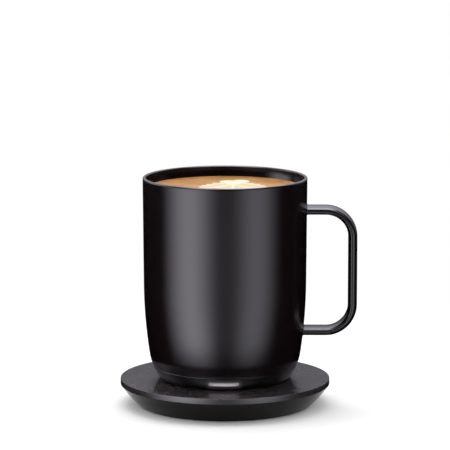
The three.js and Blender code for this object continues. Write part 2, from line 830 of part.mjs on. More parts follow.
function contactPin() {
  const guideEnd = shoulderBottom - pinGuideShare * (shoulderBottom - springBottom);
  return turned([
    [0, guideEnd], [pinGuideRadius, guideEnd],
    [pinGuideRadius, shoulderBottom], [pinShoulderRadius, shoulderBottom],
    [pinShoulderRadius, barrelLipBottom], [pinRadius, barrelLipBottom],
    [pinRadius, pinTop - pinTipRound], [pinRadius - pinTipRound, pinTop], [0, pinTop],
  ], pinTurns);
}

function pinBarrel() {
  const outside = barrelBore + barrelWall;
  return turned([
    [0, coasterBoardTop], [outside, coasterBoardTop], [outside, plateBottom],
    [pinRadius + clearance, plateBottom], [pinRadius + clearance, barrelLipBottom],
    [barrelBore, barrelLipBottom], [barrelBore, springBottom], [0, springBottom],
  ], pinTurns);
}

class Helix extends THREE.Curve {
  constructor(radius, from, to, turns) {
    super();
    Object.assign(this, { radius, from, to, turns });
  }

  getPoint(t, target = new THREE.Vector3()) {
    const angle = wholeTurn * this.turns * t;
    return target.set(this.radius * Math.cos(angle), this.radius * Math.sin(angle),
      THREE.MathUtils.lerp(this.from, this.to, t));
  }
}

function pinSpring() {
  const radius = (pinGuideRadius + barrelBore) / 2;
  const from = springBottom + springWire;
  const to = shoulderBottom - springWire;
  const turns = (to - from) / springPitch;
  const options = {
    extrudePath: new Helix(radius, from, to, turns),
    steps: Math.ceil(turns * springSteps),
  };
  return toSolid(new THREE.ExtrudeGeometry(wireSection(springWire / 2, springSides), options));
}

// Assembly.

const object = new THREE.Group();
const coaster = new THREE.Group();
const mug = new THREE.Group();
mug.position.z = coasterHeight;
object.add(coaster, mug);

function place(parent, name, solid, material, x = 0, y = 0) {
  const mesh = new THREE.Mesh(toGeometry(solid), material);
  mesh.name = name;
  mesh.position.set(x, y, 0);
  parent.add(mesh);
}

// A part that stands on the main board, at shares of the board's radius.
function placeOnBoard(name, solid, material, [shareX, shareY]) {
  place(mug, name, solid, material, shareX * boardRadius, shareY * boardRadius);
}

place(mug, 'outer_shell', outerShell(), finishes.coating);
place(mug, 'inner_liner', innerLiner(), finishes.coating);
place(mug, 'handle', handle(), finishes.coating);
place(mug, 'base_band', baseBand(), finishes.glossBlack);
place(mug, 'base_seal', baseSeal(), finishes.rubber);
place(mug, 'indicator_lens', indicatorLens(), finishes.light);
place(mug, 'bottom_cover', bottomCover(), finishes.glossBlack);
place(mug, 'contact_ring_inner', contactRing(innerRing, 1), finishes.gold);
place(mug, 'contact_ring_outer', contactRing(outerRing, -1), finishes.gold);
place(mug, 'power_button', powerButton(), finishes.rubber, 0, -buttonPlace);
place(mug, 'switch_dome', switchDome(), finishes.steel, 0, -buttonPlace);
place(mug, 'tact_switch', box(switchSize, switchSize, domeTop, boardBottom), finishes.chip,
  0, -buttonPlace);
place(mug, 'main_board', mainBoard(), finishes.board);
placeOnBoard('controller_chip', box(controllerSize, controllerSize, boardTop,
  boardTop + controllerHeight), finishes.chip, controllerPlaceShares);
placeOnBoard('charger_chip', box(chargerSize, chargerSize, boardTop, boardTop + chargerHeight),
  finishes.chip, chargerPlaceShares);
placeOnBoard('power_inductor', plate(roundedRectangle(inductorSize, inductorSize, inductorRound),
  boardTop, boardTop + inductorHeight, 2), finishes.tray, inductorPlaceShares);
for (let i = 0; i < ledCount; i++) {
  const x = (i - (ledCount - 1) / 2) * ledPitch;
  place(mug, `indicator_led_${i + 1}`, led(), finishes.light, x, ledDepth / 2 - ledFront);
}
place(mug, 'led_board', box(ledBoardWidth, ledBoardThickness, ledgeTop,
  ledgeTop + ledBoardHeight), finishes.board, 0, ledDepth + ledBoardThickness / 2 - ledFront);
place(mug, 'battery_tray', batteryTray(), finishes.tray);
place(mug, 'battery_cell_left', batteryCell(), finishes.cell, -cellPlace);
place(mug, 'battery_cell_right', batteryCell(), finishes.cell, cellPlace);
bossPlaces.forEach(([x, y], i) => {
  place(mug, `board_screw_${i + 1}`, boardScrew(), finishes.steel, x, y);
});
place(mug, 'insulation_pad', insulationPad(), finishes.foam);
place(mug, 'heater_film', heaterFilm(), finishes.heater);
place(mug, 'floor_sensor', floorSensor(), finishes.chip);
place(mug, 'wall_sensor', levelStrip(), finishes.heater);
place(mug, 'heater_lead_1', heaterLead(), finishes.lead, -leadPitch / 2, leadPlace);
place(mug, 'heater_lead_2', heaterLead(), finishes.lead, leadPitch / 2, leadPlace);

place(coaster, 'coaster_top', coasterTop(), finishes.coasterBlack);
place(coaster, 'coaster_bowl', coasterBowl(), finishes.coasterBlack);
place(coaster, 'foot_pad', footPad(), finishes.rubber);
place(coaster, 'coaster_board', coasterBoard(), finishes.board, coasterBoardPlace);
place(coaster, 'lead_terminal', leadTerminal(), finishes.chip, coasterBoardPlace,
  (coasterBoardWidth - terminalDepth) / 2);
place(coaster, 'cord_gland', glandBody(0, true), finishes.rubber);
coasterScrewPlaces.forEach(([x, y], i) => {
  place(coaster, `coaster_screw_${i + 1}`, coasterScrew(), finishes.steel, x, y);
});
['inner', 'outer'].forEach((name, i) => {
  place(coaster, `contact_pin_${name}`, contactPin(), finishes.gold, pinPlaces[i]);
  place(coaster, `pin_barrel_${name}`, pinBarrel(), finishes.gold, pinPlaces[i]);
  place(coaster, `pin_spring_${name}`, pinSpring(), finishes.steel, pinPlaces[i]);
});

export default object;
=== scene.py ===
import math

import bmesh
import bpy
import numpy as np
from mathutils.geometry import delaunay_2d_cdt
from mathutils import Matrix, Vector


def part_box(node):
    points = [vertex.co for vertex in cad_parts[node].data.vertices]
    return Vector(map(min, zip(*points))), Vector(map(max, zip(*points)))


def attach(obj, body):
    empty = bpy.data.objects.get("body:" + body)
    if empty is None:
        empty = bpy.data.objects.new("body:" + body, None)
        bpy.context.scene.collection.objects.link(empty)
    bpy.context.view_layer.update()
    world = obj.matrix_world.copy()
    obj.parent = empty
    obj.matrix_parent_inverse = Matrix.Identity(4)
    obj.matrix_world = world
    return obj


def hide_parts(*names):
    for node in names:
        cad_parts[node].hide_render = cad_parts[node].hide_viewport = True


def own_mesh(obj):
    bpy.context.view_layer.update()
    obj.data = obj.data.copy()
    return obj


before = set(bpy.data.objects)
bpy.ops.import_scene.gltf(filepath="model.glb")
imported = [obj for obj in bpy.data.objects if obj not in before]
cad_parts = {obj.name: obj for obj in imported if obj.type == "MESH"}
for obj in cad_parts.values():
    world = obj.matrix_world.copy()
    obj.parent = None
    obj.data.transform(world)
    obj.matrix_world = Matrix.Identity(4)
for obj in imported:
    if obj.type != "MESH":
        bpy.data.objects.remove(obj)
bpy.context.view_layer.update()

# Looks of the self heating mug on its charging coaster. Sizes are in millimetres and heights are
# above the table, unless a comment says otherwise.
MM = 0.001
scene = bpy.context.scene

# Camera. It stands where the photograph was taken: 1.56 m from the mug and 0.35 m above the
# table, looking down by nine degrees through a long lens, one degree round towards the handle.
picture_pixels = 450
focal_pixels = 3013.35
sensor_width = 36
camera_distance = 1555.1
camera_height = 345.96
camera_pitch = math.radians(9.168)
camera_turn = math.radians(1.0)

camera_data = bpy.data.cameras.new("camera")
camera_data.sensor_width = sensor_width
camera_data.lens = sensor_width * focal_pixels / picture_pixels
camera_data.clip_end = 100
camera = bpy.data.objects.new("camera", camera_data)
scene.collection.objects.link(camera)
camera.location = (camera_distance * MM * math.sin(camera_turn),
                   -camera_distance * MM * math.cos(camera_turn),
                   camera_height * MM)
camera.rotation_euler = (math.pi / 2 - camera_pitch, 0, camera_turn)
scene.camera = camera
scene.view_settings.view_transform = "Standard"

# Studio. A white table that fades to pure white away from the object, a soft box overhead and
# one at each side. What shines on the black surfaces is a light tent, which nothing else shows.
# Its roof is bright. Its cloth is lit in two upright strips in front, in a panel on the left and
# faintly behind, and is dark elsewhere.


def linear(hex_code):
    """An sRGB hex colour as the linear RGBA that the shaders take."""
    srgb = np.array([int(hex_code[i:i + 2], 16) for i in (1, 3, 5)]) / 255
    rgb = np.where(srgb <= 0.04045, srgb / 12.92, ((srgb + 0.055) / 1.055) ** 2.4)
    return (*rgb, 1.0)


def add(tree, kind, inputs=(), output=0, **settings):
    """Adds a shader node of a kind, with its operation if it has one, and gives back one of its
    outputs, or all for the output None. inputs are its sockets' values, or the outputs that
    feed them, in order or by name or number. settings are the node's own properties."""
    kind, *operation = kind.split()
    made = tree.nodes.new("ShaderNode" + kind)
    if operation:
        made.operation = operation[0]
    for key, value in settings.items():
        setattr(made, key, value)
    for key, value in inputs.items() if isinstance(inputs, dict) else enumerate(inputs):
        if isinstance(value, bpy.types.NodeSocket):
            tree.links.new(value, made.inputs[key])
        else:
            made.inputs[key].default_value = value
    return made.outputs if output is None else made.outputs[output]


def seen_directly(tree):
    """1 for what the camera sees, straight or in a shiny or clear surface, and 0 for light
    that falls on the object."""
    rays = add(tree, "LightPath", output=None)
    seen = add(tree, "Math MAXIMUM", (rays["Is Camera Ray"], rays["Is Glossy Ray"]))
    return add(tree, "Math MAXIMUM", (seen, rays["Is Transmission Ray"]))


def new_object(name, points, faces, material):
    """An object of one material, from points in millimetres."""
    mesh = bpy.data.meshes.new(name)
    mesh.from_pydata((np.asarray(points).reshape(-1, 3) * MM).tolist(), [], faces)
    mesh.materials.append(material)
    made = bpy.data.objects.new(name, mesh)
    scene.collection.objects.link(made)
    return made


def stage_material(name):
    """A studio material with nothing in it yet, as (material, tree, object coordinates). What
    it gives off is only seen, so no light is sought from it."""
    made = bpy.data.materials.new(name)
    made.use_nodes = True
    made.cycles.emission_sampling = "NONE"
    made.node_tree.nodes.clear()
    return made, made.node_tree, add(made.node_tree, "TexCoord", output="Object")


world = bpy.data.worlds.new("white_room")
world.use_nodes = True
scene.world = world
tree = world.node_tree
room_light = 0.8               # what the walls of the room add to the lamps
level = add(tree, "MapRange", (seen_directly(tree), 0.0, 1.0, room_light, 1.0))
walls = add(tree, "Background", {"Color": (1, 1, 1, 1), "Strength": level})
add(tree, "OutputWorld", {"Surface": walls}, None, is_active_output=True)

table_reach = 12000
fade_start, fade_end = 60, 360         # radii between which the table fades to pure white
SMOOTH = {"interpolation_type": "SMOOTHSTEP"}
table_paint, tree, place = stage_material("white_table_paint")
away = add(tree, "VectorMath LENGTH", [place], "Value")
fade = add(tree, "MapRange", (away, fade_start * MM, fade_end * MM), **SMOOTH)
fade = add(tree, "Math MULTIPLY", (fade, seen_directly(tree)))
white = add(tree, "Emission", {"Color": (1, 1, 1, 1), "Strength": 1.0})
grain = add(tree, "TexNoise", {"Vector": place, "Scale": 1 / (2.5 * MM)})
dull = add(tree, "MapRange", (grain, 0, 1, 0.1, 0.3))
paint = add(tree, "BsdfDiffuse", {"Color": linear("#f4f4f4"), "Roughness": dull})
add(tree, "OutputMaterial", {"Surface": add(tree, "MixShader", (fade, paint, white))}, None)
table_corners = np.array([(-1, -1, 0), (1, -1, 0), (1, 1, 0), (-1, 1, 0)]) * table_reach
new_object("table", table_corners, [(0, 1, 2, 3)], table_paint)


def soft_box(name, width, height, centre, target, power):
    """A rectangular lamp at a place, facing another place. It gives diffuse light alone: the
    camera doesn't see it, and shiny surfaces show the tent in its place."""
    lamp = bpy.data.lights.new(name, "AREA")
    lamp.shape = "RECTANGLE"
    lamp.size, lamp.size_y = width * MM, height * MM
    lamp.energy = power
    made = bpy.data.objects.new(name, lamp)
    scene.collection.objects.link(made)
    place = np.array(centre) * MM
    aim = np.array(target) * MM - place
    made.location = place
    made.rotation_euler = (math.atan2(math.hypot(aim[0], aim[1]), -aim[2]), 0,
                           math.atan2(-aim[0], aim[1]))
    made.visible_camera = False
    made.visible_glossy = False


# Width and height of each soft box, its place, the place it faces, and its power in watts.
soft_boxes = {
    "overhead": (900, 900, (-90, 400, 900), (0, 40, 60), 6.9),
    "left_side": (300, 600, (-460, 0, 330), (0, 0, 60), 0.9),
    "right_side": (300, 600, (460, 0, 330), (0, 0, 60), 0.9),
}
for name, values in soft_boxes.items():
    soft_box(name, *values)


def turned(outline, turns):
    """Rows of (radius, height) turned about the z axis, as a grid of points:
    x = r cos a, y = r sin a, z = h."""
    outline = np.array(outline, float)
    angle = np.linspace(0, 2 * np.pi, turns, endpoint=False)
    radius, height = outline[:, :1], outline[:, 1:]
    height = np.broadcast_to(height, (len(outline), turns))
    return np.stack([radius * np.cos(angle), radius * np.sin(angle), height], -1)


def grid_faces(rows, columns):
    """Quads of a grid of points whose last column meets its first."""
    row, column = np.mgrid[0:rows - 1, 0:columns]
    beside = (column + 1) % columns
    corners = [row * columns + column, row * columns + beside,
               (row + 1) * columns + beside, (row + 1) * columns + column]
    return np.stack(corners, -1).reshape(-1, 4).tolist()


def arc(radius, height, reach, start, end, rows):
    """Rows of (radius, height) along an arc of this reach round a middle:
    (radius + reach cos t, height + reach sin t)."""
    t = np.linspace(start, end, rows)
    return np.stack([radius + reach * np.cos(t), height + reach * np.sin(t)], 1)


tent_inner = 60                # nearer than this the surfaces show the table itself
tent_radius = 430
tent_bend = 60
tent_height = 700
tent_base = 1.5                # cloth above the table
tent_turns = 96
tent_bend_rows = 9
strip_front = 43               # the strips run away from a point this far in front of the axis
left_strip = (-53, 25, 24, 4.5)        # middle, half width and soft edge in degrees, and level
right_strip = (48, 21, 20, 2.0)
front_dim = (0, 70, 25, 0.6)           # the cloth between them
left_panel = (-104, 22, 12, 3.0)       # a last lit part, high on the left
back_low = 150                 # height from which the back gets brighter, up to the roof
back_level = 3.6
roof_start = 620
roof_level = 10.5              # the roof's light in front and at its back edge
roof_back = 6.0

cloth, tree, place = stage_material("tent_cloth")
x, y, z = add(tree, "SeparateXYZ", [place], None)
towards = add(tree, "Math SUBTRACT", (-strip_front * MM, y))
azimuth = add(tree, "Math ARCTAN2", (x, towards))


def strip(middle, half_width, softness, level):
    """Light of an upright strip of cloth: its level near the middle azimuth, falling smoothly
    to nothing past its half width."""
    off = add(tree, "Math SUBTRACT", (azimuth, math.radians(middle)))
    off = add(tree, "Math ABSOLUTE", [off])
    return add(tree, "MapRange", (off, math.radians(half_width + softness),
                                  math.radians(half_width - softness), 0.0, level), **SMOOTH)


level_xy = add(tree, "CombineXYZ", (x, y))
away = add(tree, "VectorMath LENGTH", [level_xy], "Value")

# Shares of light, which change smoothly along a coordinate. Each row gives the coordinate, two
# places on it in millimetres, and the values there.
shares = {
    "near": (away, 63, 140, 0, 1),          # the cloth on the table, outwards
    "low strips": (z, 115, 150, 1, 0),      # the strips go out as they rise
    "high strips": (z, 250, 450, 0, 1),     # and come back further up
    "low front": (z, 60, 95, 1, 0),         # between them the cloth is lit at its foot alone
    "above panel foot": (z, 112, 150, 0, 1),
    "below panel top": (z, 240, 320, 1, 0),
    "behind": (y, 40, 280, 0, 1),
    "haze": (z, 62, 90, 0, 0.3),            # faint and even, above the table
    "roof": (z, roof_start, tent_height, 0, 1),
    "roof middle": (away, 380, 250, 0, 1),  # the roof's edge gives no light
}
shares = {name: add(tree, "MapRange", (along, start * MM, end * MM, low, high), **SMOOTH)
          for name, (along, start, end, low, high) in shares.items()}
strips_up = add(tree, "Math ADD", (shares["low strips"], shares["high strips"]))
rise = add(tree, "MapRange", (z, back_low * MM, roof_start * MM, 0.0, back_level))
overhead = add(tree, "MapRange", (y, 0.0, tent_radius * MM, roof_level, roof_back))

# The cloth's light is the sum of these products.
light = None
for share, *factors in (
        (shares["behind"], shares["haze"]),
        (strip(*left_strip), strips_up, shares["near"]),
        (strip(*right_strip), strips_up, shares["near"]),
        (strip(*front_dim), shares["low front"], shares["near"]),
        (strip(*left_panel), shares["above panel foot"], shares["below panel top"]),
        (shares["behind"], rise),
        (shares["roof"], overhead, shares["roof middle"])):
    for factor in factors:
        share = add(tree, "Math MULTIPLY", (share, factor))
    light = add(tree, "Math ADD", (light, share)) if light else share
shine = add(tree, "Emission", {"Color": linear("#f6f4ff"), "Strength": light})
add(tree, "OutputMaterial", {"Surface": shine}, None)
tent_outline = np.vstack([
    [(tent_inner, tent_base)],
    arc(tent_radius - tent_bend, tent_base + tent_bend, tent_bend, -math.pi / 2, 0,
        tent_bend_rows),
    arc(tent_radius - tent_bend, tent_height - tent_bend, tent_bend, 0, math.pi / 2,
        tent_bend_rows),
    [(0, tent_height)],
])
tent = new_object("light_tent", turned(tent_outline, tent_turns),
                  grid_faces(len(tent_outline), tent_turns), cloth)
tent.visible_camera = False
tent.visible_diffuse = False
tent.visible_transmission = False
tent.visible_shadow = False

# Coaster bowl. The underside of the coaster is one moulding in black polycarbonate, matt from
# the spark-eroded mould. Its side flares from the foot to the plate as a shallow arc.
TURNS = 192
MERGE = 1e-6                   # metres between points that are one point
FACETS = 4                     # facets of a rounded corner
SHARP = 20                     # degrees from which a corner is rounded
NEAR = 0.3                     # share of the way to the next corner that a round may take


def box(node):
    """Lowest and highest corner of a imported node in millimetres."""
    return [np.array(corner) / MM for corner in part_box(node)]


def eased(outline, reach):
    """Rounds the sharp corners of a closed outline. Each gives way to a quadratic Bezier curve
    that starts and ends at the reach from it, but not far on the way to its neighbour. One
    more point beyond each end of the curve keeps the flats flat."""
    outline = np.array(outline, float)
    before = np.roll(outline, 1, 0) - outline
    after = np.roll(outline, -1, 0) - outline
    long_before = np.linalg.norm(before, axis=1)
    long_after = np.linalg.norm(after, axis=1)
    straight = -(before * after).sum(1) / (long_before * long_after)
    sharp = (straight < math.cos(math.radians(SHARP))) & (outline[:, 0] > 0)
    start = before * np.minimum(reach / long_before, NEAR)[:, None]
    end = after * np.minimum(reach / long_after, NEAR)[:, None]
    t = np.concatenate([[-0.5], np.linspace(0, 1, FACETS + 1), [1.5]])[None, :, None]
    held = np.clip(t, 0, 1)
    curve = start[:, None] * (1 - held) ** 2 + end[:, None] * held ** 2
    curve = curve * np.where(held == t, 1, 1.5)
    rows = outline[:, None] + curve * sharp[:, None, None]
    return rows[sharp[:, None] | (np.arange(t.size) == 0)[None]]


def new_piece(name, points, faces, material, body, slot, nodes, crease=35):
    """A closed mesh from points in millimetres. Its seams and poles are merged, its faces
    turned outwards, and its edges shaded smooth up to the crease angle in degrees. It rides on
    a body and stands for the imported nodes."""
    made = new_object(name, points, faces, material)
    mesh = made.data
    work = bmesh.new()
    work.from_mesh(mesh)
    bmesh.ops.remove_doubles(work, verts=work.verts, dist=MERGE)
    bmesh.ops.recalc_face_normals(work, faces=work.faces)
    work.to_mesh(mesh)
    work.free()
    mesh.shade_smooth()
    mesh.set_sharp_from_angle(angle=math.radians(crease))
    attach(made, body)
    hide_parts(*nodes)
    return made


def ring_of(outline, turns=TURNS, middle=(0, 0, 0)):
    """Points and faces of an outline turned about the z axis, and moved to its middle. It closes
    on itself, unless it runs from the axis back to the axis."""
    outline = np.array(outline, float)
    if outline[0, 0] > 0:
        outline = np.vstack([outline, outline[:1]])
    return turned(outline, turns) + middle, grid_faces(len(outline), turns)


def new_material(name, **values):
    """A material with a Principled shader, as (material, tree, object coordinates). The values
    are constants on the shader's own sockets, such as Sheen_Weight."""
    made = bpy.data.materials.new(name)
    made.use_nodes = True
    shader = made.node_tree.nodes["Principled BSDF"]
    for key, value in values.items():
        shader.inputs[key.replace("_", " ")].default_value = value
    return made, made.node_tree, add(made.node_tree, "TexCoord", output="Object")


def surface(tree, place, colours, roughness, *relief):
    """Gives a material its looks from shares, which run from 0 to 1 over the piece. A share is
    an output, or the size in millimetres of a noise's lumps, which may come with its detail.
    colours is a share and the hex colours at its ends. roughness is a share and the values at
    0.3 of it and at 0.7, or an output. Each layer of relief is a share and its depth in
    millimetres."""
    def over(share):
        if isinstance(share, bpy.types.NodeSocket):
            return share
        size, detail = share if isinstance(share, tuple) else (share, 2.0)
        return add(tree, "TexNoise", {"Vector": place, "Scale": 1 / (size * MM),
                                      "Detail": detail})

    inputs = tree.nodes["Principled BSDF"].inputs
    share, first, second = colours
    mixed = add(tree, "Mix", {0: over(share), 6: linear(first), 7: linear(second)}, 2,
                data_type="RGBA")
    tree.links.new(mixed, inputs["Base Color"])
    if isinstance(roughness, tuple):
        share, low, high = roughness
        roughness = add(tree, "MapRange", (over(share), 0.3, 0.7, low, high))
    tree.links.new(roughness, inputs["Roughness"])
    for share, depth in relief:
        bump = {"Height": over(share), "Distance": depth * MM, "Strength": 1.0}
        if inputs["Normal"].links:
            bump["Normal"] = inputs["Normal"].links[0].from_socket
        tree.links.new(add(tree, "Bump", bump), inputs["Normal"])


# The eye gets a dull black with a fine even grain, a shade warmer where the light is low.
matt_polycarbonate, tree, place = new_material("spark_grained_polycarbonate", IOR=1.585,
                                               Specular_IOR_Level=0.1)
surface(tree, place, (6, "#0c0a09", "#100d0c"), (1.5, 0.17, 0.21), (0.35, 0.0008))

coaster_radius = box("coaster_top")[1][0]
coaster_height = box("coaster_top")[1][2]
edge_bottom, bowl_rim = box("coaster_bowl")[1][2], box("coaster_bowl")[1][0]
pad_proud = box("coaster_bowl")[0][2]
pad_radius, pad_thickness = box("foot_pad")[1][0], box("foot_pad")[1][2]
pad_gap = 0.3
bowl_foot = 45.5
bowl_bulge = 0.6
bowl_wall = 2.5
bowl_floor = 3.0
moulded_round = 0.25
bowl_rows, bowl_inside_rows = 14, 6


def bowl_side(start, end, inset, rows):
    """Rows of (radius, height) up the bowl's side: a straight flare with a parabolic bulge."""
    height = np.linspace(start, end, rows)
    share = (height - pad_proud) / (edge_bottom - pad_proud)
    flare = bowl_foot + (bowl_rim - bowl_foot) * share
    return np.stack([flare + 4 * bowl_bulge * share * (1 - share) - inset, height], 1)


bowl_outline = np.vstack([
    [(0, pad_thickness), (pad_radius + pad_gap, pad_thickness), (pad_radius + pad_gap, pad_proud)],
    bowl_side(pad_proud, edge_bottom, 0, bowl_rows),
    bowl_side(edge_bottom, bowl_floor, bowl_wall, bowl_inside_rows),
    [(0, bowl_floor)],
])
new_piece("coaster_underside", *ring_of(eased(bowl_outline, moulded_round)), matt_polycarbonate,
          "coaster", "coaster_black", ["coaster_bowl"])

# Foot pad. A die-cut disc of silicone glued into the pocket under the bowl, so that the
# coaster doesn't slide. Two shallow grooves near its edge let it grip a wet table.
pad_round = 0.2
groove_places = (36.0, 39.5)
groove_half = 0.6
groove_depth = 0.2

# The eye gets dull grey-black rubber that picks up a little dust.
silicone, tree, place = new_material("black_silicone", IOR=1.41, Sheen_Weight=0.15)
surface(tree, place, ((9, 4.0), "#171617", "#232222"), (3, 0.6, 0.75), (0.5, 0.01))

grooves = [[(place - groove_half, 0), (place - groove_half / 2, groove_depth),
            (place + groove_half / 2, groove_depth), (place + groove_half, 0)]
           for place in groove_places]
pad_outline = np.vstack([[(0, 0)], *grooves, [(pad_radius, 0), (pad_radius, pad_thickness),
                                              (0, pad_thickness)]])
new_piece("grip_pad", *ring_of(eased(pad_outline, pad_round)), silicone, "coaster", "rubber",
          ["foot_pad"])

# Coaster screws and cord gland. The screws are zinc plated and sit under the pad. The gland
# is a rubber bush in the back of the bowl, ribbed outside, with a flange behind the wall.


def finished(material, *nodes):
    """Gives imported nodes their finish. Their meshes stay as they are."""
    for node in nodes:
        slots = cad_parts[node].data.materials
        slots.clear()
        slots.append(material)


# The eye gets bright steel with the faint drag marks of the driver and the drawn wire.
zinc_plate, tree, place = new_material("zinc_plated_steel", Metallic=1.0)
surface(tree, place, (2, "#a9acb1", "#c9ccd0"), (0.6, 0.22, 0.38), (0.3, 0.003))
finished(zinc_plate, *[f"coaster_screw_{number}" for number in (1, 2, 3, 4)])

gland_low, gland_high = box("cord_gland")
gland_axis = (gland_low[2] + gland_high[2]) / 2
gland_flange = (gland_high[2] - gland_low[2]) / 2
gland_radius = 2.6
gland_bore = 1.5
gland_flange_width = 1.2
gland_flange_end = gland_low[1] + gland_flange_width
rib_pitch = 1.1
rib_depth = 0.3
rib_steps = 60
gland_turns = 48
along = np.linspace(gland_flange_end, gland_high[1], rib_steps)
ribs = gland_radius - rib_depth * (0.5 - 0.5 * np.cos(
    2 * np.pi * (along - gland_flange_end) / rib_pitch))
gland_outline = np.vstack([
    [(gland_bore, gland_low[1]), (gland_flange, gland_low[1]), (gland_flange, gland_flange_end)],
    np.stack([ribs, along], 1),
    [(gland_bore, gland_high[1])],
])
points, faces = ring_of(eased(gland_outline, pad_round), gland_turns)
new_piece("ribbed_gland", points[..., [0, 2, 1]] + (0, 0, gland_axis), faces, silicone,
          "coaster", "rubber", ["cord_gland"])

# Coaster board and supply terminal. A small glass-epoxy board in the bowl holds the two sprung
# contacts. The terminal is a nylon block for the supply lead.
track_pitch = 3.2
track_edges = (0.05, 0.08)     # shares of the pitch between which a track ends
pad_pitch = 1.9
pad_edges = (0.16, 0.2)


def circuit_board(name, mask, copper):
    """A circuit board's material: solder mask with its tracks and round pads. The tracks are
    the borders of cells, and the pads are the middles of finer cells."""
    made, tree, place = new_material(name, IOR=1.55, Coat_Weight=0.4, Coat_Roughness=0.12)
    borders = add(tree, "TexVoronoi", {"Vector": place, "Scale": 1 / (track_pitch * MM),
                                       "Randomness": 0.75}, feature="DISTANCE_TO_EDGE")
    track = add(tree, "MapRange", (borders, *track_edges, 1, 0))
    middles = add(tree, "TexVoronoi", {"Vector": place, "Scale": 1 / (pad_pitch * MM)})
    pad = add(tree, "MapRange", (middles, *pad_edges, 1, 0))
    metal = add(tree, "Math MAXIMUM", (track, pad))
    surface(tree, place, (metal, mask, copper), (0.8, 0.3, 0.42), (track, 0.03), (0.4, 0.004))
    return made


# The eye gets green lacquer with slightly raised copper tracks that run under it.
finished(circuit_board("green_solder_mask", "#0c3a22", "#3f7a45"), "coaster_board")

# The eye gets off-white nylon, a little cloudy, with the satin of a fast moulding.
white_nylon, tree, place = new_material("natural_nylon", IOR=1.53, Subsurface_Weight=0.1)
surface(tree, place, (3, "#d9d4c4", "#e6e2d5"), (1, 0.42, 0.52), (0.5, 0.006))
finished(white_nylon, "lead_terminal")

# Contact pins. Two turned brass plungers, gold plated, each in a barrel on the board with a
# spring under it. They stand half a millimetre out of the plate, up to the rings of the mug.
pin_radius = 1.25
pin_tip_round = 0.5
pin_tip_rows = 7
pin_guide_radius = 0.85
pin_shoulder = 1.2
pin_shoulder_top = 11.2
pin_edge = 0.12
pin_turns = 48
wire_radius = 0.2
spring_pitch = 0.8
spring_steps = 24
spring_sides = 10
flat_turns = 0.6               # turns at each end of a spring that lie flat

# The eye gets warm yellow metal, polished at the tip and with fine lathe rings below.
gold_plate, tree, place = new_material("gold_plated_brass", Metallic=1.0)
rings = add(tree, "TexWave", {"Vector": place, "Scale": 1 / (2.4 * MM), "Distortion": 0.4}, "Fac",
            bands_direction="Z")
surface(tree, place, (1.2, "#d8a94e", "#e9c377"), (0.4, 0.16, 0.26), (rings, 0.003), (0.2, 0.002))

# The eye gets drawn spring wire: grey steel with a long fine grain.
spring_steel, tree, place = new_material("drawn_spring_steel", Metallic=1.0)
surface(tree, place, (0.8, "#8f9296", "#b3b6ba"), (0.3, 0.25, 0.4), (0.15, 0.003))


def coil(radius, wire, low, high, turns):
    """A round wire of this radius wound into a spring: its middle line is (r cos t, r sin t, z)
    with z rising evenly between the flat ends."""
    t = np.linspace(0, 1, int(turns * spring_steps))[:, None]
    side = np.linspace(0, 2 * np.pi, spring_sides, endpoint=False)[None]
    dead = flat_turns / turns
    rise = np.clip((t - dead) / (1 - 2 * dead), 0, 1)
    angle = 2 * np.pi * turns * t
    out = radius + wire * np.cos(side)
    rows = np.stack([out * np.cos(angle), out * np.sin(angle),
                     low + (high - low) * rise + wire * np.sin(side)], -1)
    ends = rows[[0, -1]].mean(1, keepdims=True) + np.zeros((1, spring_sides, 1))
    points = np.concatenate([ends[:1], rows, ends[1:]])
    return points, grid_faces(len(points), spring_sides)


def gives_way(piece):
    """Gives a springy piece a mesh of its own."""
    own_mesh(piece)


for side in ("inner", "outer"):
    pin_low, pin_high = box(f"contact_pin_{side}")
    pin_place = ((pin_low[0] + pin_high[0]) / 2, 0, 0)
    shoulder_radius = (pin_high[0] - pin_low[0]) / 2
    pin_top = pin_high[2]
    shoulder_bottom = pin_shoulder_top - pin_shoulder
    pin_outline = np.vstack([
        [(0, pin_low[2]), (pin_guide_radius, pin_low[2]), (pin_guide_radius, shoulder_bottom),
         (shoulder_radius, shoulder_bottom), (shoulder_radius, pin_shoulder_top),
         (pin_radius, pin_shoulder_top)],
        arc(pin_radius - pin_tip_round, pin_top - pin_tip_round, pin_tip_round, 0,
            math.pi / 2, pin_tip_rows),
        [(0, pin_top)],
    ])
    new_piece(f"plunger_{side}", *ring_of(eased(pin_outline, pin_edge), pin_turns, pin_place),
              gold_plate, f"{side}_pin", "gold", [f"contact_pin_{side}"])
    spring_low, spring_high = box(f"pin_spring_{side}")
    spring_radius = (spring_high[0] - spring_low[0]) / 2 - wire_radius
    low, high = spring_low[2] + wire_radius, spring_high[2] - wire_radius
    points, faces = coil(spring_radius, wire_radius, low, high, (high - low) / spring_pitch + 1)
    spring = new_piece(f"coil_{side}", points + pin_place, faces, spring_steel, "coaster",
                       "steel", [f"pin_spring_{side}"])
    gives_way(spring)
finished(gold_plate, "pin_barrel_inner", "pin_barrel_outer")

# Coaster top. The plate on which the mug stands is polished black polycarbonate with a short
# upright edge. Two holes let the contact pins through.
edge_width = 2.4
edge_round = 0.15
plate_bottom = 12.0
hole_radius = 1.55
hole_edge = 0.15
hole_guard = 0.4
hole_turns = 48


def joined(*parts):
    """Several pairs of points and faces as one pair."""
    points = [np.asarray(points).reshape(-1, 3) for points, _ in parts]
    starts = np.cumsum([0] + [len(part) for part in points])
    faces = [[[corner + start for corner in face] for face in part]
             for (_, part), start in zip(parts, starts)]
    return np.vstack(points), sum(faces, [])


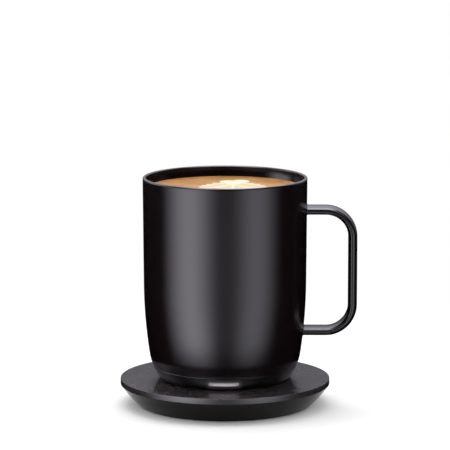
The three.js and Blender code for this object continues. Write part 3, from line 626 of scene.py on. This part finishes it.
def within(points, loop):
    """Whether each (u, v) point is inside a loop: a line from it crosses an odd number of the
    loop's sides."""
    u, v = points[:, :1], points[:, 1:]
    ends = np.roll(loop, -1, 0)
    passes = (loop[:, 1] > v) != (ends[:, 1] > v)
    rise = np.where(passes, ends[:, 1] - loop[:, 1], 1.0)
    meets = loop[:, 0] + (v - loop[:, 1]) * (ends[:, 0] - loop[:, 0]) / rise
    return (passes & (u < meets)).sum(1) % 2 == 1


def filled(loops, extra=()):
    """Triangles that fill a flat outline, the first loop of (u, v) rows, but for the holes,
    which are the other loops. Extra points may lie in between."""
    starts = np.cumsum([0] + [len(loop) for loop in loops])
    edges = [np.stack([np.arange(len(loop)) + start,
                       (np.arange(len(loop)) + 1) % len(loop) + start], 1)
             for loop, start in zip(loops, starts)]
    points = np.vstack([*loops, *extra]).tolist()
    inside_only, nearest = 1, 1e-6
    found = delaunay_2d_cdt(points, np.vstack(edges).tolist(), [], inside_only, nearest)
    points, faces = np.array([tuple(point) for point in found[0]]), np.array(found[2])
    middles = points[faces].mean(1)
    in_hole = np.any([within(middles, hole) for hole in loops[1:]] + [np.zeros(len(faces))], 0)
    return points, faces[~in_hole.astype(bool)].tolist()


# The eye gets a deep black gloss that mirrors the mug softly. Where the foot of the mug is
# set down and turned, a ring is worn a little duller, with fine scratches along it.
worn_middle = 32.0
worn_half = 2.5
worn_dullness = 0.12
polished_polycarbonate, tree, place = new_material("polished_polycarbonate", IOR=1.7)
x, y, z = add(tree, "SeparateXYZ", [place], None)
level_xy = add(tree, "CombineXYZ", (x, y))
away = add(tree, "VectorMath LENGTH", [level_xy], "Value")
off_ring = add(tree, "Math SUBTRACT", (away, worn_middle * MM))
off_ring = add(tree, "Math ABSOLUTE", [off_ring])
worn = add(tree, "MapRange", (off_ring, 0, worn_half * MM, 1, 0), **SMOOTH)
uneven = add(tree, "TexNoise", {"Vector": place, "Scale": 1 / (4 * MM), "Detail": 4.0})
worn = add(tree, "Math MULTIPLY", (worn, uneven))
hairlines = add(tree, "TexWave", {"Vector": place, "Scale": 1 / (1.6 * MM), "Distortion": 1.5,
                                  "Detail": 1.0}, "Fac", wave_type="RINGS", rings_direction="Z")
hairlines = add(tree, "Math MULTIPLY", (worn, hairlines))
gloss = add(tree, "TexNoise", {"Vector": place, "Scale": 1 / (8 * MM)})
gloss = add(tree, "MapRange", (gloss, 0.3, 0.7, 0.25, 0.28))
gloss = add(tree, "Math MULTIPLY_ADD", (worn, worn_dullness, gloss))
surface(tree, place, (12, "#211d1e", "#262223"), gloss, (hairlines, 0.001), (4, 0.001))

top_outline = eased([
    (0, coaster_height), (coaster_radius, coaster_height), (coaster_radius, edge_bottom),
    (coaster_radius - edge_width, edge_bottom), (coaster_radius - edge_width, plate_bottom),
    (0, plate_bottom),
], edge_round)
top_outline = top_outline[top_outline[:, 0] > 0]
rim = turned(top_outline, TURNS)
pin_holes = [sum(box(f"contact_pin_{side}"))[:2] / 2 for side in ("inner", "outer")]
hole_outline = [(hole_radius + hole_edge, coaster_height), (hole_radius, coaster_height - hole_edge),
                (hole_radius, plate_bottom)]
hole_walls = [turned(hole_outline, hole_turns) + (*centre, 0) for centre in pin_holes]
guards = [turned([(hole_radius + hole_guard, 0)], hole_turns)[0, :, :2] + centre
          for centre in pin_holes]
top_face = filled([rim[0, :, :2]] + [wall[0, :, :2] for wall in hole_walls], guards)
low_face = filled([rim[-1, :, :2]] + [wall[-1, :, :2] for wall in hole_walls])
plate_parts = [(rim, grid_faces(len(rim), TURNS))]
plate_parts += [(wall, grid_faces(len(wall), hole_turns)) for wall in hole_walls]
for (flat, faces), height in ((top_face, coaster_height), (low_face, plate_bottom)):
    plate_parts.append((np.insert(flat, 2, height, axis=1), faces))
new_piece("coaster_plate", *joined(*plate_parts), polished_polycarbonate, "coaster",
          "coaster_black", ["coaster_top"])

# Base band. The mug stands on a polished black ring of ABS that screws up from below. It laps
# over the cover, rises into the shell as a spigot, and has a slot for the light in front.
mug_height = 106.5
rim_radius = 43.0
wall_taper = 0.84
flank_start = 50.4
flank_radius = 261.0
heel_start = 13.9
heel_radius = 28.7
foot = coaster_height


def outer_radius(height):
    """Radius of the mug's outside at heights above its foot: a straight taper, less a large
    arc below the flank's start, less a tighter arc below the heel's start."""
    height = np.asarray(height, float)
    straight = rim_radius - wall_taper * (1 - height / mug_height)
    low = np.clip(height, heel_start, flank_start)
    flank = flank_radius - np.sqrt(flank_radius ** 2 - (flank_start - low) ** 2)
    first = (flank_start - heel_start) / flank_radius
    sine = first + np.maximum(heel_start - height, 0) / heel_radius
    heel = heel_radius * (math.sqrt(1 - first ** 2) - np.sqrt(1 - sine ** 2))
    return straight - flank - heel


def up_wall(heights):
    """Rows of (radius, height) up the mug's outside."""
    return np.stack([outer_radius(heights), heights], 1)


def heights_over(ends, counts):
    """Heights that run evenly over each stretch between two ends, in a count of rows each."""
    stretches = zip(ends, ends[1:], counts)
    return np.concatenate([ends[:1], *[np.linspace(*stretch)[1:] for stretch in stretches]])


seam_height = 6.9
seam_chamfer = 0.25
foot_round = 0.6
foot_width = 2.1
cover_top = 1.7
ledge_top = 2.3
ledge_reach = 1.7
spigot_top = 11.0
spigot_gap = 0.35
shell_wall = 0.8
band_wall = 1.1
seal_low, seal_high = [corner[2] - foot for corner in box("base_seal")]
seal_depth = 0.75
lens_low, lens_high = box("indicator_lens")
lens_height = 2.0
lens_width = lens_high[0] - lens_low[0]
lens_centre = (lens_low[2] + lens_high[2]) / 2 - foot
lens_gap = 0.06
slot_edge = 0.1
slot_depth = 1.2
slot_margin = 1.2              # band beside the slot that is meshed with it
slot_rows = 0.8                # and band above and below it
slot_loops = (0.35, 0.6)       # rows of points round the slot, this far from it
light_end_rows, light_side_rows = 13, 17
band_round = 0.2
band_rows = (5, 7, 5)          # rows of points below, beside and above the light

foot_radius = outer_radius(0) - foot_round
cover_edge = foot_radius - foot_width
spigot_radius = outer_radius(seam_height) - shell_wall - spigot_gap
band_bore = outer_radius(ledge_top) - band_wall
light_radius = outer_radius(lens_centre)
light_start = lens_centre - lens_height / 2 - slot_rows
light_end = lens_centre + lens_height / 2 + slot_rows


def light_loop(inset):
    """Outline of the light as rows of (u, v) from its middle: a bar with round ends, moved in
    by the inset."""
    half = lens_height / 2 - inset
    reach = (lens_width - lens_height) / 2
    end = arc(reach, 0, half, -math.pi / 2, math.pi / 2, light_end_rows)
    along = np.linspace(reach, -reach, light_side_rows)[1:-1]
    side = np.stack([along, np.full(len(along), half)], 1)
    return np.vstack([end, side, -end, -side])


def on_front(flat, depth):
    """Rows of (u, v) wrapped onto the front of the band, at a depth inside its surface."""
    height = flat[..., 1] + lens_centre
    angle = flat[..., 0] / light_radius - math.pi / 2
    radius = outer_radius(height) - depth
    return np.stack([radius * np.cos(angle), radius * np.sin(angle), height + foot], -1)


# The eye gets piano black: a mirror with a few hairline scratches. Close round the light a faint
# glow is painted onto it, which stands for light let through where the moulding is thin.
painted_glow_start, painted_glow_end, painted_glow_level = 0.4, 3.6, 0.042
piano_black, tree, place = new_material("polished_abs", IOR=1.54,
                                        Emission_Color=linear("#e6d8d4"))
long_way = add(tree, "Mapping", {0: place, 3: (1.0, 1.0, 9.0)})
scratches = add(tree, "TexNoise", {"Vector": long_way, "Scale": 1 / (1.2 * MM),
                                   "Detail": 4.0})
surface(tree, place, (10, "#080506", "#0c090a"), (scratches, 0.1, 0.18), (scratches, 0.0008),
        (2.5, 0.001))
# Painted glow round the light: the band gives off light that fades with the distance from the
# light's outline, on its front only.
x, y, z = add(tree, "SeparateXYZ", [place], None)
past_end = add(tree, "Math ABSOLUTE", [x])
past_end = add(tree, "Math SUBTRACT", (past_end, (lens_width - lens_height) / 2 * MM))
past_end = add(tree, "Math MAXIMUM", (past_end, 0.0))
off_middle = add(tree, "Math SUBTRACT", (z, (lens_centre + foot) * MM))
beyond = add(tree, "CombineXYZ", (past_end, off_middle))
far = add(tree, "VectorMath LENGTH", [beyond], "Value")
painted_glow = add(tree, "MapRange", (far, painted_glow_start * MM, painted_glow_end * MM, painted_glow_level, 0.0), **SMOOTH)
painted_glow = add(tree, "Math MULTIPLY", (painted_glow, add(tree, "Math LESS_THAN", (y, 0.0))))
tree.links.new(painted_glow, tree.nodes["Principled BSDF"].inputs["Emission Strength"])

band_heights = heights_over((foot_round, light_start, light_end, seam_height - seam_chamfer),
                            band_rows)
band_outline = np.vstack([
    [(cover_edge, 0), (foot_radius, 0)],
    up_wall(band_heights),
    [(outer_radius(seam_height) - seam_chamfer, seam_height), (spigot_radius, seam_height),
     (spigot_radius, seal_low), (spigot_radius - seal_depth, seal_low),
     (spigot_radius - seal_depth, seal_high), (spigot_radius, seal_high),
     (spigot_radius, spigot_top), (band_bore, spigot_top), (band_bore, ledge_top),
     (cover_edge - ledge_reach, ledge_top), (cover_edge - ledge_reach, cover_top),
     (cover_edge, cover_top)],
])
band_outline = eased(band_outline, band_round)
band = turned(np.vstack([band_outline, band_outline[:1]]), TURNS) + (0, 0, foot)
band_faces = np.reshape(grid_faces(len(band), TURNS), (-1, TURNS, 4))
on_outside = np.isclose(band_outline[:, 0], outer_radius(band_outline[:, 1]))
low_row = np.argmax(on_outside & np.isclose(band_outline[:, 1], light_start))
high_row = np.argmax(on_outside & np.isclose(band_outline[:, 1], light_end))
front_column = TURNS * 3 // 4
span = math.ceil((lens_width / 2 + slot_margin) / light_radius / (2 * np.pi) * TURNS)
kept = np.ones(band_faces.shape[:2], bool)
kept[low_row:high_row, front_column - span:front_column + span] = False
columns = np.arange(-span, span + 1) * 2 * np.pi / TURNS * light_radius
heights = band_outline[low_row:high_row + 1, 1] - lens_centre
border = np.vstack([
    np.stack([columns, np.full(len(columns), heights[0])], 1),
    np.stack([np.full(len(heights), columns[-1]), heights], 1)[1:-1],
    np.stack([columns[::-1], np.full(len(columns), heights[-1])], 1),
    np.stack([np.full(len(heights), columns[0]), heights[::-1]], 1)[1:-1],
])
slot = light_loop(-lens_gap)
slot_lip = light_loop(-lens_gap - slot_edge)
patch, patch_faces = filled([border, slot_lip], [light_loop(-gap) for gap in slot_loops])
floor_patch, floor_faces = filled([slot])
slot_walls = np.stack([on_front(slot_lip, 0), on_front(slot, slot_edge),
                       on_front(slot, slot_depth)])
new_piece("foot_band", *joined(
    (band, band_faces[kept].reshape(-1, 4).tolist()),
    (on_front(patch, 0), patch_faces),
    (slot_walls, grid_faces(len(slot_walls), len(slot))),
    (on_front(floor_patch, slot_depth), floor_faces),
), piano_black, "mug", "gloss_black", ["base_band"], crease=30)

# Seal. A moulded O-ring of silicone lies in the spigot's groove. The shell squeezes it, which
# keeps water out of the electronics.
finished(silicone, "base_seal")

# Status light. A milky polycarbonate lens fills the slot flush, and three diodes on a narrow
# board shine into it. It is brightest over the diodes, a little below its middle, and fades
# towards its edges and its round ends.
lens_flush = 0.03
lens_edge = 0.12
lens_loops = (0.6, 0.3)        # rows of points on its face, this far from its edge
glow_line = 0.45               # brightest line, below the lens's middle
glow_even, glow_reach = 0.3, 1.1       # distances from it between which the light fades
glow_ends, glow_level = 0.05, 0.3
diode_pitch = 5
diode_dim, diode_bright = 0.9, 1.05    # light between two diodes and over one

# The eye gets a soft white glow with no hot spots, and satin plastic where it is off.
milky_lens, tree, place = new_material("milky_polycarbonate", IOR=1.58,
                                       Emission_Color=linear("#f4eaf2"))
surface(tree, place, (2, "#b9b6bc", "#c6c3ca"), (0.8, 0.3, 0.4), (0.5, 0.003))
x, y, z = add(tree, "SeparateXYZ", [place], None)
aside = add(tree, "Math ABSOLUTE", [x])
glow = add(tree, "MapRange", (aside, lens_width / 2 * MM, lens_width / 5 * MM, glow_ends,
                              glow_level), **SMOOTH)
off_line = add(tree, "Math SUBTRACT", (z, (lens_centre + foot - glow_line) * MM))
off_line = add(tree, "Math ABSOLUTE", [off_line])
line = add(tree, "MapRange", (off_line, glow_even * MM, glow_reach * MM, 1, 0), **SMOOTH)
diodes = add(tree, "Math MULTIPLY", (x, 2 * math.pi / (diode_pitch * MM)))
diodes = add(tree, "MapRange", (add(tree, "Math COSINE", [diodes]), -1, 1, diode_dim, diode_bright))
for factor in (line, diodes):
    glow = add(tree, "Math MULTIPLY", (glow, factor))
tree.links.new(glow, tree.nodes["Principled BSDF"].inputs["Emission Strength"])

steps = [(lens_height / 2, 0), *[(inset, 0) for inset in lens_loops], (lens_edge, 0),
         (lens_edge / 3, lens_edge / 3), (0, lens_edge), (0, slot_depth - lens_gap),
         (lens_height / 2, slot_depth - lens_gap)]
lens = np.stack([on_front(light_loop(inset), lens_flush + depth) for inset, depth in steps])
new_piece("light_lens", lens, grid_faces(len(lens), lens.shape[1]), milky_lens, "mug", "light",
          ["indicator_lens"])

# The eye gets small ceramic diodes whose yellow phosphor shows through a clear filling.
phosphor, tree, place = new_material("diode_phosphor", IOR=1.5, Coat_Weight=0.8,
                                     Coat_Roughness=0.05)
surface(tree, place, (1.5, "#e8cf6a", "#f3ead0"), (0.4, 0.3, 0.45))
finished(phosphor, "indicator_led_1", "indicator_led_2", "indicator_led_3")

# Bottom cover, charging rings and button. The cover is a matt disc inside the band. Two gold
# plated rings lie in grooves in it and meet the pins, and the power button is behind them.
finished(matt_polycarbonate, "bottom_cover")

# The eye gets gold with the fine turning lines of a lathe and, between them, small dull nicks.
ring_gold, tree, place = new_material("turned_gold_plate", Metallic=1.0)
turning = add(tree, "TexWave", {"Vector": place, "Scale": 1 / (0.9 * MM), "Distortion": 0.3},
              "Fac", wave_type="RINGS", rings_direction="Z")
surface(tree, place, (3, "#d3a54d", "#e6c079"), ((0.7, 4.0), 0.2, 0.34), (turning, 0.004),
        (0.4, 0.002))
finished(ring_gold, "contact_ring_inner", "contact_ring_outer")

button_low, button_high = box("power_button")
button_place = (*(button_low + button_high)[:2] / 2, 0)
button_face, button_top = button_low[2], button_high[2]
button_radius = 4.2
button_flange = (button_high[0] - button_low[0]) / 2
button_flange_thickness = 0.8
button_flange_low = foot + cover_top
button_flange_high = button_flange_low + button_flange_thickness
button_stem = 2.0
button_dish = 0.25
button_lip = 0.6
button_round = 0.3
button_turns = 64
dish_rows = 9
dish_radius = np.linspace(0, button_radius - button_lip, dish_rows)
dish = np.stack([dish_radius, button_face + button_dish * np.cos(
    dish_radius / dish_radius[-1] * math.pi / 2)], 1)
button_outline = np.vstack([
    dish,
    [(button_radius, button_face), (button_radius, button_flange_low),
     (button_flange, button_flange_low), (button_flange, button_flange_high),
     (button_stem, button_flange_high), (button_stem, button_top), (0, button_top)],
])
new_piece("dished_button", *ring_of(eased(button_outline, button_round), button_turns,
                                    button_place),
          silicone, "power_button", "rubber", ["power_button"])

# Switch dome. A cap of spring steel with its rim on the switch. The button's stem flattens it
# until it snaps onto the contact.
dome_low, dome_high = box("switch_dome")
dome_radius = (dome_high[0] - dome_low[0]) / 2
dome_sheet = 0.2
dome_rows = 13
dome_gap = 0.03                # the cap to the stem, when the button isn't pressed
dome_across = np.linspace(0, dome_radius, dome_rows)
dome_under = dome_high[2] - (dome_high[2] - dome_low[2] - dome_gap) * np.cos(
    dome_across / dome_radius * math.pi / 2)
dome_over = np.minimum(dome_under + dome_sheet, dome_high[2])
dome_outline = np.vstack([
    np.stack([dome_across, dome_under], 1),
    np.stack([dome_across, dome_over], 1)[-2::-1],
])
dome = new_piece("snap_dome", *ring_of(dome_outline, button_turns, button_place), spring_steel,
                 "mug", "steel", ["switch_dome"])
gives_way(dome)

# Electronics of the mug. The main board carries the switch, the controller, the charger and
# its coil, and three screws hold it to the battery tray. The light board stands in front.
finished(circuit_board("black_solder_mask", "#0d1110", "#4a4632"), "main_board", "led_board")
finished(spring_steel, "tact_switch")
finished(zinc_plate, "board_screw_1", "board_screw_2", "board_screw_3")

# The eye gets moulded epoxy: dark grey with pale specks of its filler, and a dull face.
chip_epoxy, tree, place = new_material("chip_epoxy", IOR=1.5)
specks = add(tree, "TexNoise", {"Vector": place, "Scale": 1 / (0.25 * MM), "Detail": 4.0})
specks = add(tree, "MapRange", (specks, 0.55, 0.75, 0.0, 1.0))
surface(tree, place, (specks, "#17181a", "#3a3c40"), (0.5, 0.5, 0.65), (0.2, 0.005))
finished(chip_epoxy, "controller_chip", "charger_chip")

# The eye gets pressed ferrite powder, near black with a metallic grey bloom.
ferrite, tree, place = new_material("pressed_ferrite", Metallic=0.4)
surface(tree, place, ((0.6, 4.0), "#2a2b2d", "#4c4d50"), (0.4, 0.5, 0.7), (0.3, 0.01))
finished(ferrite, "power_inductor")

# Battery. A tray moulded in glass-filled nylon rests on the band's spigot, above the board.
# Two lithium pouch cells lie in it, with a rib between them.

# The eye gets grey-black nylon with glass fibres that lie just under its dull skin.
filled_nylon, tree, place = new_material("glass_filled_nylon", IOR=1.53)
long_way = add(tree, "Mapping", {0: place, 3: (1.0, 6.0, 1.0)})
fibres = add(tree, "TexNoise", {"Vector": long_way, "Scale": 1 / (1.5 * MM), "Detail": 4.0})
surface(tree, place, (fibres, "#141517", "#2c2e31"), (fibres, 0.45, 0.6), (fibres, 0.006))
finished(filled_nylon, "battery_tray")

# The eye gets aluminium foil laminate: satin silver, softly dimpled where it wraps the stack.
pouch_foil, tree, place = new_material("aluminium_pouch_foil", Metallic=1.0)
surface(tree, place, (5, "#9fa3a8", "#c2c5c9"), (1.5, 0.28, 0.42), (6, 0.15), (0.6, 0.008))
finished(pouch_foil, "battery_cell_left", "battery_cell_right")

# Heating. A polyimide film heater is bonded under the drinking floor with a sensor on it, and
# a fibre pad keeps its heat off the cells. Another sensor strip up the wall feels the level.
heater_pitch = 2.6

# The eye gets amber film with a dark etched track that winds to and fro across it.
polyimide, tree, place = new_material("polyimide_film", IOR=1.7, Coat_Weight=0.5,
                                      Coat_Roughness=0.15)
x, y, z = add(tree, "SeparateXYZ", [place], None)
wave = add(tree, "Math MULTIPLY", (x, 2 * math.pi / (heater_pitch * MM)))
wave = add(tree, "Math SINE", [wave])
wave = add(tree, "Math ABSOLUTE", [wave])
track = add(tree, "MapRange", (wave, 0.5, 0.6, 0.0, 1.0))
surface(tree, place, (track, "#b4711c", "#5a3413"), (1, 0.25, 0.38), (track, 0.02), (0.8, 0.004))
finished(polyimide, "heater_film", "wall_sensor")

# The eye gets a bead of blue-green epoxy with a slight orange peel.
sensor_epoxy, tree, place = new_material("sensor_epoxy", IOR=1.52)
surface(tree, place, (1, "#1c4a52", "#28616a"), (0.6, 0.2, 0.32), (0.5, 0.02))
finished(sensor_epoxy, "floor_sensor")

# The eye gets pale ceramic fibre felt: matt, with loose fibres lying every way.
fibre_felt, tree, place = new_material("ceramic_fibre_felt", Sheen_Weight=0.4,
                                       Sheen_Roughness=0.5)
long_way = add(tree, "Mapping", {0: place, 3: (1.0, 5.0, 5.0)})
felt = add(tree, "TexNoise", {"Vector": long_way, "Scale": 1 / (1.2 * MM), "Detail": 6.0})
surface(tree, place, (felt, "#c9c3b4", "#e9e5da"), (felt, 0.85, 0.95), (felt, 0.08), (2.5, 0.1))
finished(fibre_felt, "insulation_pad")

# The eye gets red silicone insulation, slightly waxy.
lead_silicone, tree, place = new_material("red_lead_silicone", IOR=1.41)
surface(tree, place, (2, "#7d1512", "#98211b"), (0.6, 0.4, 0.55), (0.4, 0.006))
finished(lead_silicone, "heater_lead_1", "heater_lead_2")

# Inner liner. A pressed stainless cup forms the cavity and the rolled lip. It is sprayed with
# the same satin coating as the outside.
lip_width = 1.8
lip_height = 1.6
lip_blend = 9.0
liner_wall = 0.8
wall_space = 3.0               # outside of the mug to the cavity
floor_height = 22.0
floor_fillet = 10.0
lip_rows, fillet_rows, outer_fillet_rows = 17, 13, 9
cavity_rows = (14, 24)         # rows of points down the lip's blend and down the wall
shell_top = mug_height - lip_height
lip_centre = mug_height - lip_width / 2


def cavity_radius(height):
    """Radius of the cavity at heights above the foot: the outside less the double wall, which
    thins to the lip over the last stretch by a smoothstep."""
    t = np.clip((height - lip_centre + lip_blend) / lip_blend, 0, 1)
    share = t * t * (3 - 2 * t)
    return outer_radius(height) - wall_space + share * (wall_space - lip_width)


# The eye gets a warm near-black satin that draws each light out into a soft band, with an
# orange peel too fine to see as more than a softness.
coating, tree, place = new_material("sprayed_satin_coating", IOR=1.45)
surface(tree, place, (7, "#0a0506", "#0e090a"), (2.5, 0.17, 0.2), (0.55, 0.0006), (3, 0.001))

wall_foot = floor_height + floor_fillet
fillet_middle = cavity_radius(wall_foot) - floor_fillet
down = heights_over((lip_centre, lip_centre - lip_blend, wall_foot), cavity_rows)[1:]
inside = np.vstack([
    arc(rim_radius - lip_width / 2, lip_centre, lip_width / 2, 0, math.pi, lip_rows),
    np.stack([cavity_radius(down), down], 1),
    arc(fillet_middle, wall_foot, floor_fillet, 0, -math.pi / 2, fillet_rows)[1:],
    [(0, floor_height)],
])
outside = np.vstack([
    [(0, floor_height - liner_wall)],
    arc(fillet_middle, wall_foot, floor_fillet + liner_wall, -math.pi / 2, 0,
        outer_fillet_rows),
    [(cavity_radius(lip_centre - lip_blend) + liner_wall, lip_centre - lip_blend),
     (rim_radius - lip_width, shell_top), (outer_radius(shell_top), shell_top)],
])
new_piece("cavity_liner", *ring_of(np.vstack([outside, inside]) + (0, foot)), coating, "mug",
          "coating", ["inner_liner"])

# Outer shell. A thin stainless cup without a bottom, welded to the liner under the lip and
# ground flush. A fine chamfer at its lower edge makes the seam above the band.
shell_rows = (12, 20, 8)       # rows of points up the heel, the flank and the straight wall
wall_heights = heights_over((seam_height + seam_chamfer, heel_start, flank_start, shell_top),
                            shell_rows)
shell_outline = np.vstack([
    [(outer_radius(seam_height) - seam_chamfer, seam_height)],
    up_wall(wall_heights),
    (up_wall(wall_heights) - (shell_wall, 0))[::-1],
    [(outer_radius(seam_height) - shell_wall, seam_height)],
])
new_piece("outer_wall", *ring_of(shell_outline + (0, foot)), coating, "mug", "coating",
          ["outer_shell"])

# Handle. A solid stainless strap bent to a D, with crowned sides, welded to the shell at both
# ends with a small blended fillet and coated with it.
strap_standoff = 23.6          # rim to the middle of the upright bar
strap_drop = 17.4              # top of the mug to the middle of the upper bar
strap_bottom = 25.5
strap_bend = 13.9
strap_half_width = 6.5
outer_bulge = 2.6
inner_bulge = 2.2
squareness = 2.5
strap_sides = 72
bend_steps = 25
weld_fillet = 0.7
weld_depth = 0.3               # strap end inside the shell's surface
weld_shares = (0, 0.04, 0.15, 0.32, 0.55, 0.8, 1.0)    # sections along the fillet

strap_out = rim_radius + strap_standoff
strap_top = mug_height - strap_drop
turn = np.linspace(0, 2 * np.pi, strap_sides, endpoint=False)
power = 2 / squareness
across = np.sign(np.sin(turn)) * np.abs(np.sin(turn)) ** power * strap_half_width
through = np.sign(np.cos(turn)) * np.abs(np.cos(turn)) ** power
through = through * np.where(through > 0, outer_bulge, inner_bulge)


def strap_rows(middle, outward):
    """Sections of the strap, a superellipse each. The rows give the middle (x, z) and the unit
    direction (x, z) towards the crowned side."""
    middle, outward = np.array(middle), np.array(outward)
    return np.stack([middle[:, :1] + outward[:, :1] * through,
                     np.broadcast_to(across, (len(middle), strap_sides)),
                     middle[:, 1:] + outward[:, 1:] * through + foot], -1)


def strap_root(height, up):
    """Sections where the strap meets the shell, from inside its surface outwards. Each point
    starts at the wall, and the section widens towards it by a quarter-circle fillet."""
    out = np.concatenate([[-weld_depth], np.array(weld_shares) * weld_fillet])[:, None]
    wider = weld_fillet * (1 - np.sqrt(1 - (1 - np.clip(out / weld_fillet, 0, 1)) ** 2))
    length = np.hypot(across, through)
    y = across * (1 + wider / length)
    z = height + up * through * (1 + wider / length)
    x = np.sqrt(outer_radius(z) ** 2 - y ** 2) + out
    return np.stack([x, y, z + foot], -1)


upper = arc(0, 0, 1, math.pi / 2, 0, bend_steps)
lower = arc(0, 0, 1, 0, -math.pi / 2, bend_steps)
corner = strap_out - strap_bend
sections = np.concatenate([
    strap_root(strap_top, 1),
    strap_rows((corner, strap_top - strap_bend) + strap_bend * upper, upper),
    strap_rows((corner, strap_bottom + strap_bend) + strap_bend * lower, lower),
    strap_root(strap_bottom, -1)[::-1],
])
caps = sections[[0, -1]].mean(1, keepdims=True) + np.zeros((1, strap_sides, 1))
sections = np.concatenate([caps[:1], sections, caps[1:]])
new_piece("strap_handle", sections, grid_faces(len(sections), strap_sides), coating, "mug",
          "coating", ["handle"])

# Drink. A milky coffee with a poured leaf stands in the mug for the picture. It belongs to the
# studio and not to the object, whose cavity is empty.
drink_depth = 6.0              # surface below the rim
drink_rows = 160
drink_turns = 480
meniscus = 0.5
meniscus_reach = 0.8
leaf_x = 4.2                   # the leaf's middle line
leaf_places = (-36, -31, -22, -8, 0, 6, 12, 17)
leaf_half_widths = (0, 7, 14, 19, 18, 15.5, 12, 8)
frond_pitch = 5.0
frond_share = 0.75             # share of the pitch that is milk
frond_sweep = 0.6
frond_droop = 0.012
frond_tip = 2.0
milk_edge = 0.5
stem_half = 0.9
stem_foot = -35.0
heart_point, heart_top = 11.0, 22.5
heart_half = 7.8
drink_gap = 0.05               # drink to the wall
lobes = ((0.9, 23.0, 4.4, 5.5), (8.0, 24.0, 4.8, 6.5))     # middle x and y, half width and length

drink_level = mug_height - drink_depth
drink_edge = float(cavity_radius(drink_level)) - drink_gap
radius = drink_edge * np.linspace(0, 1, drink_rows)[:, None]
angle = np.linspace(0, 2 * np.pi, drink_turns, endpoint=False)[None]
x, y = radius * np.cos(angle), radius * np.sin(angle)
z = foot + drink_level + meniscus * np.exp((radius - drink_edge) / meniscus_reach)
z = np.broadcast_to(z, x.shape)
beside = np.abs(x - leaf_x)
base = (y - frond_sweep * beside + frond_droop * beside ** 2) / frond_pitch
off_middle = np.abs(base - np.floor(base) - 0.5) * 2
rounding = 1 - np.sqrt(1 - np.clip(off_middle / frond_share, 0, 1) ** 2)
reach = np.interp((np.floor(base) + 0.5) * frond_pitch, leaf_places, leaf_half_widths)
fronds = np.minimum((frond_share - off_middle) * frond_pitch / 2,
                    reach - frond_tip * rounding - beside)
fronds = np.minimum(fronds, leaf_places[-1] - base * frond_pitch)
stem = np.minimum(stem_half - beside, np.minimum(y - stem_foot, heart_top - y))
heart = np.minimum(np.interp(y, (heart_point, heart_top), (0, heart_half)) - beside, heart_top - y)
inside = np.maximum(np.maximum(fronds, stem), heart)
for middle_x, middle_y, half_x, half_y in lobes:
    lobe = np.hypot((x - middle_x) / half_x, (y - middle_y) / half_y)
    inside = np.maximum(inside, (1 - lobe) * half_x)
milk = np.clip(inside / milk_edge, 0, 1)

crema, tree, place = stage_material("coffee_crema")
swirl = add(tree, "TexNoise", {"Vector": place, "Scale": 1 / (9 * MM), "Detail": 5.0})
swirl = add(tree, "MapRange", (swirl, 0.35, 0.65, 0.0, 1.0))
tan = add(tree, "Mix", {0: swirl, 6: linear("#8d6333"), 7: linear("#a67a4b")}, 2,
          data_type="RGBA")
share = add(tree, "Attribute", output="Fac", attribute_name="milk")
blend = add(tree, "Mix", {0: share, 6: tan, 7: linear("#dbd2b6")}, 2, data_type="RGBA")
bubbles = add(tree, "TexNoise", {"Vector": place, "Scale": 1 / (0.8 * MM), "Detail": 3.0})
bubbles = add(tree, "Bump", {"Height": bubbles, "Distance": 0.05 * MM})
foam = add(tree, "BsdfPrincipled", {"Base Color": blend, "Roughness": 0.35, "IOR": 1.34,
                                    "Specular IOR Level": 0.2, "Normal": bubbles})
add(tree, "OutputMaterial", {"Surface": foam}, None)
drink = new_object("drink", np.stack([x, y, z], -1), grid_faces(drink_rows, drink_turns), crema)
drink.data.shade_smooth()
shares = drink.data.attributes.new("milk", "FLOAT", "POINT")
shares.data.foreach_set("value", milk.ravel().astype(np.float32))
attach(drink, "mug")
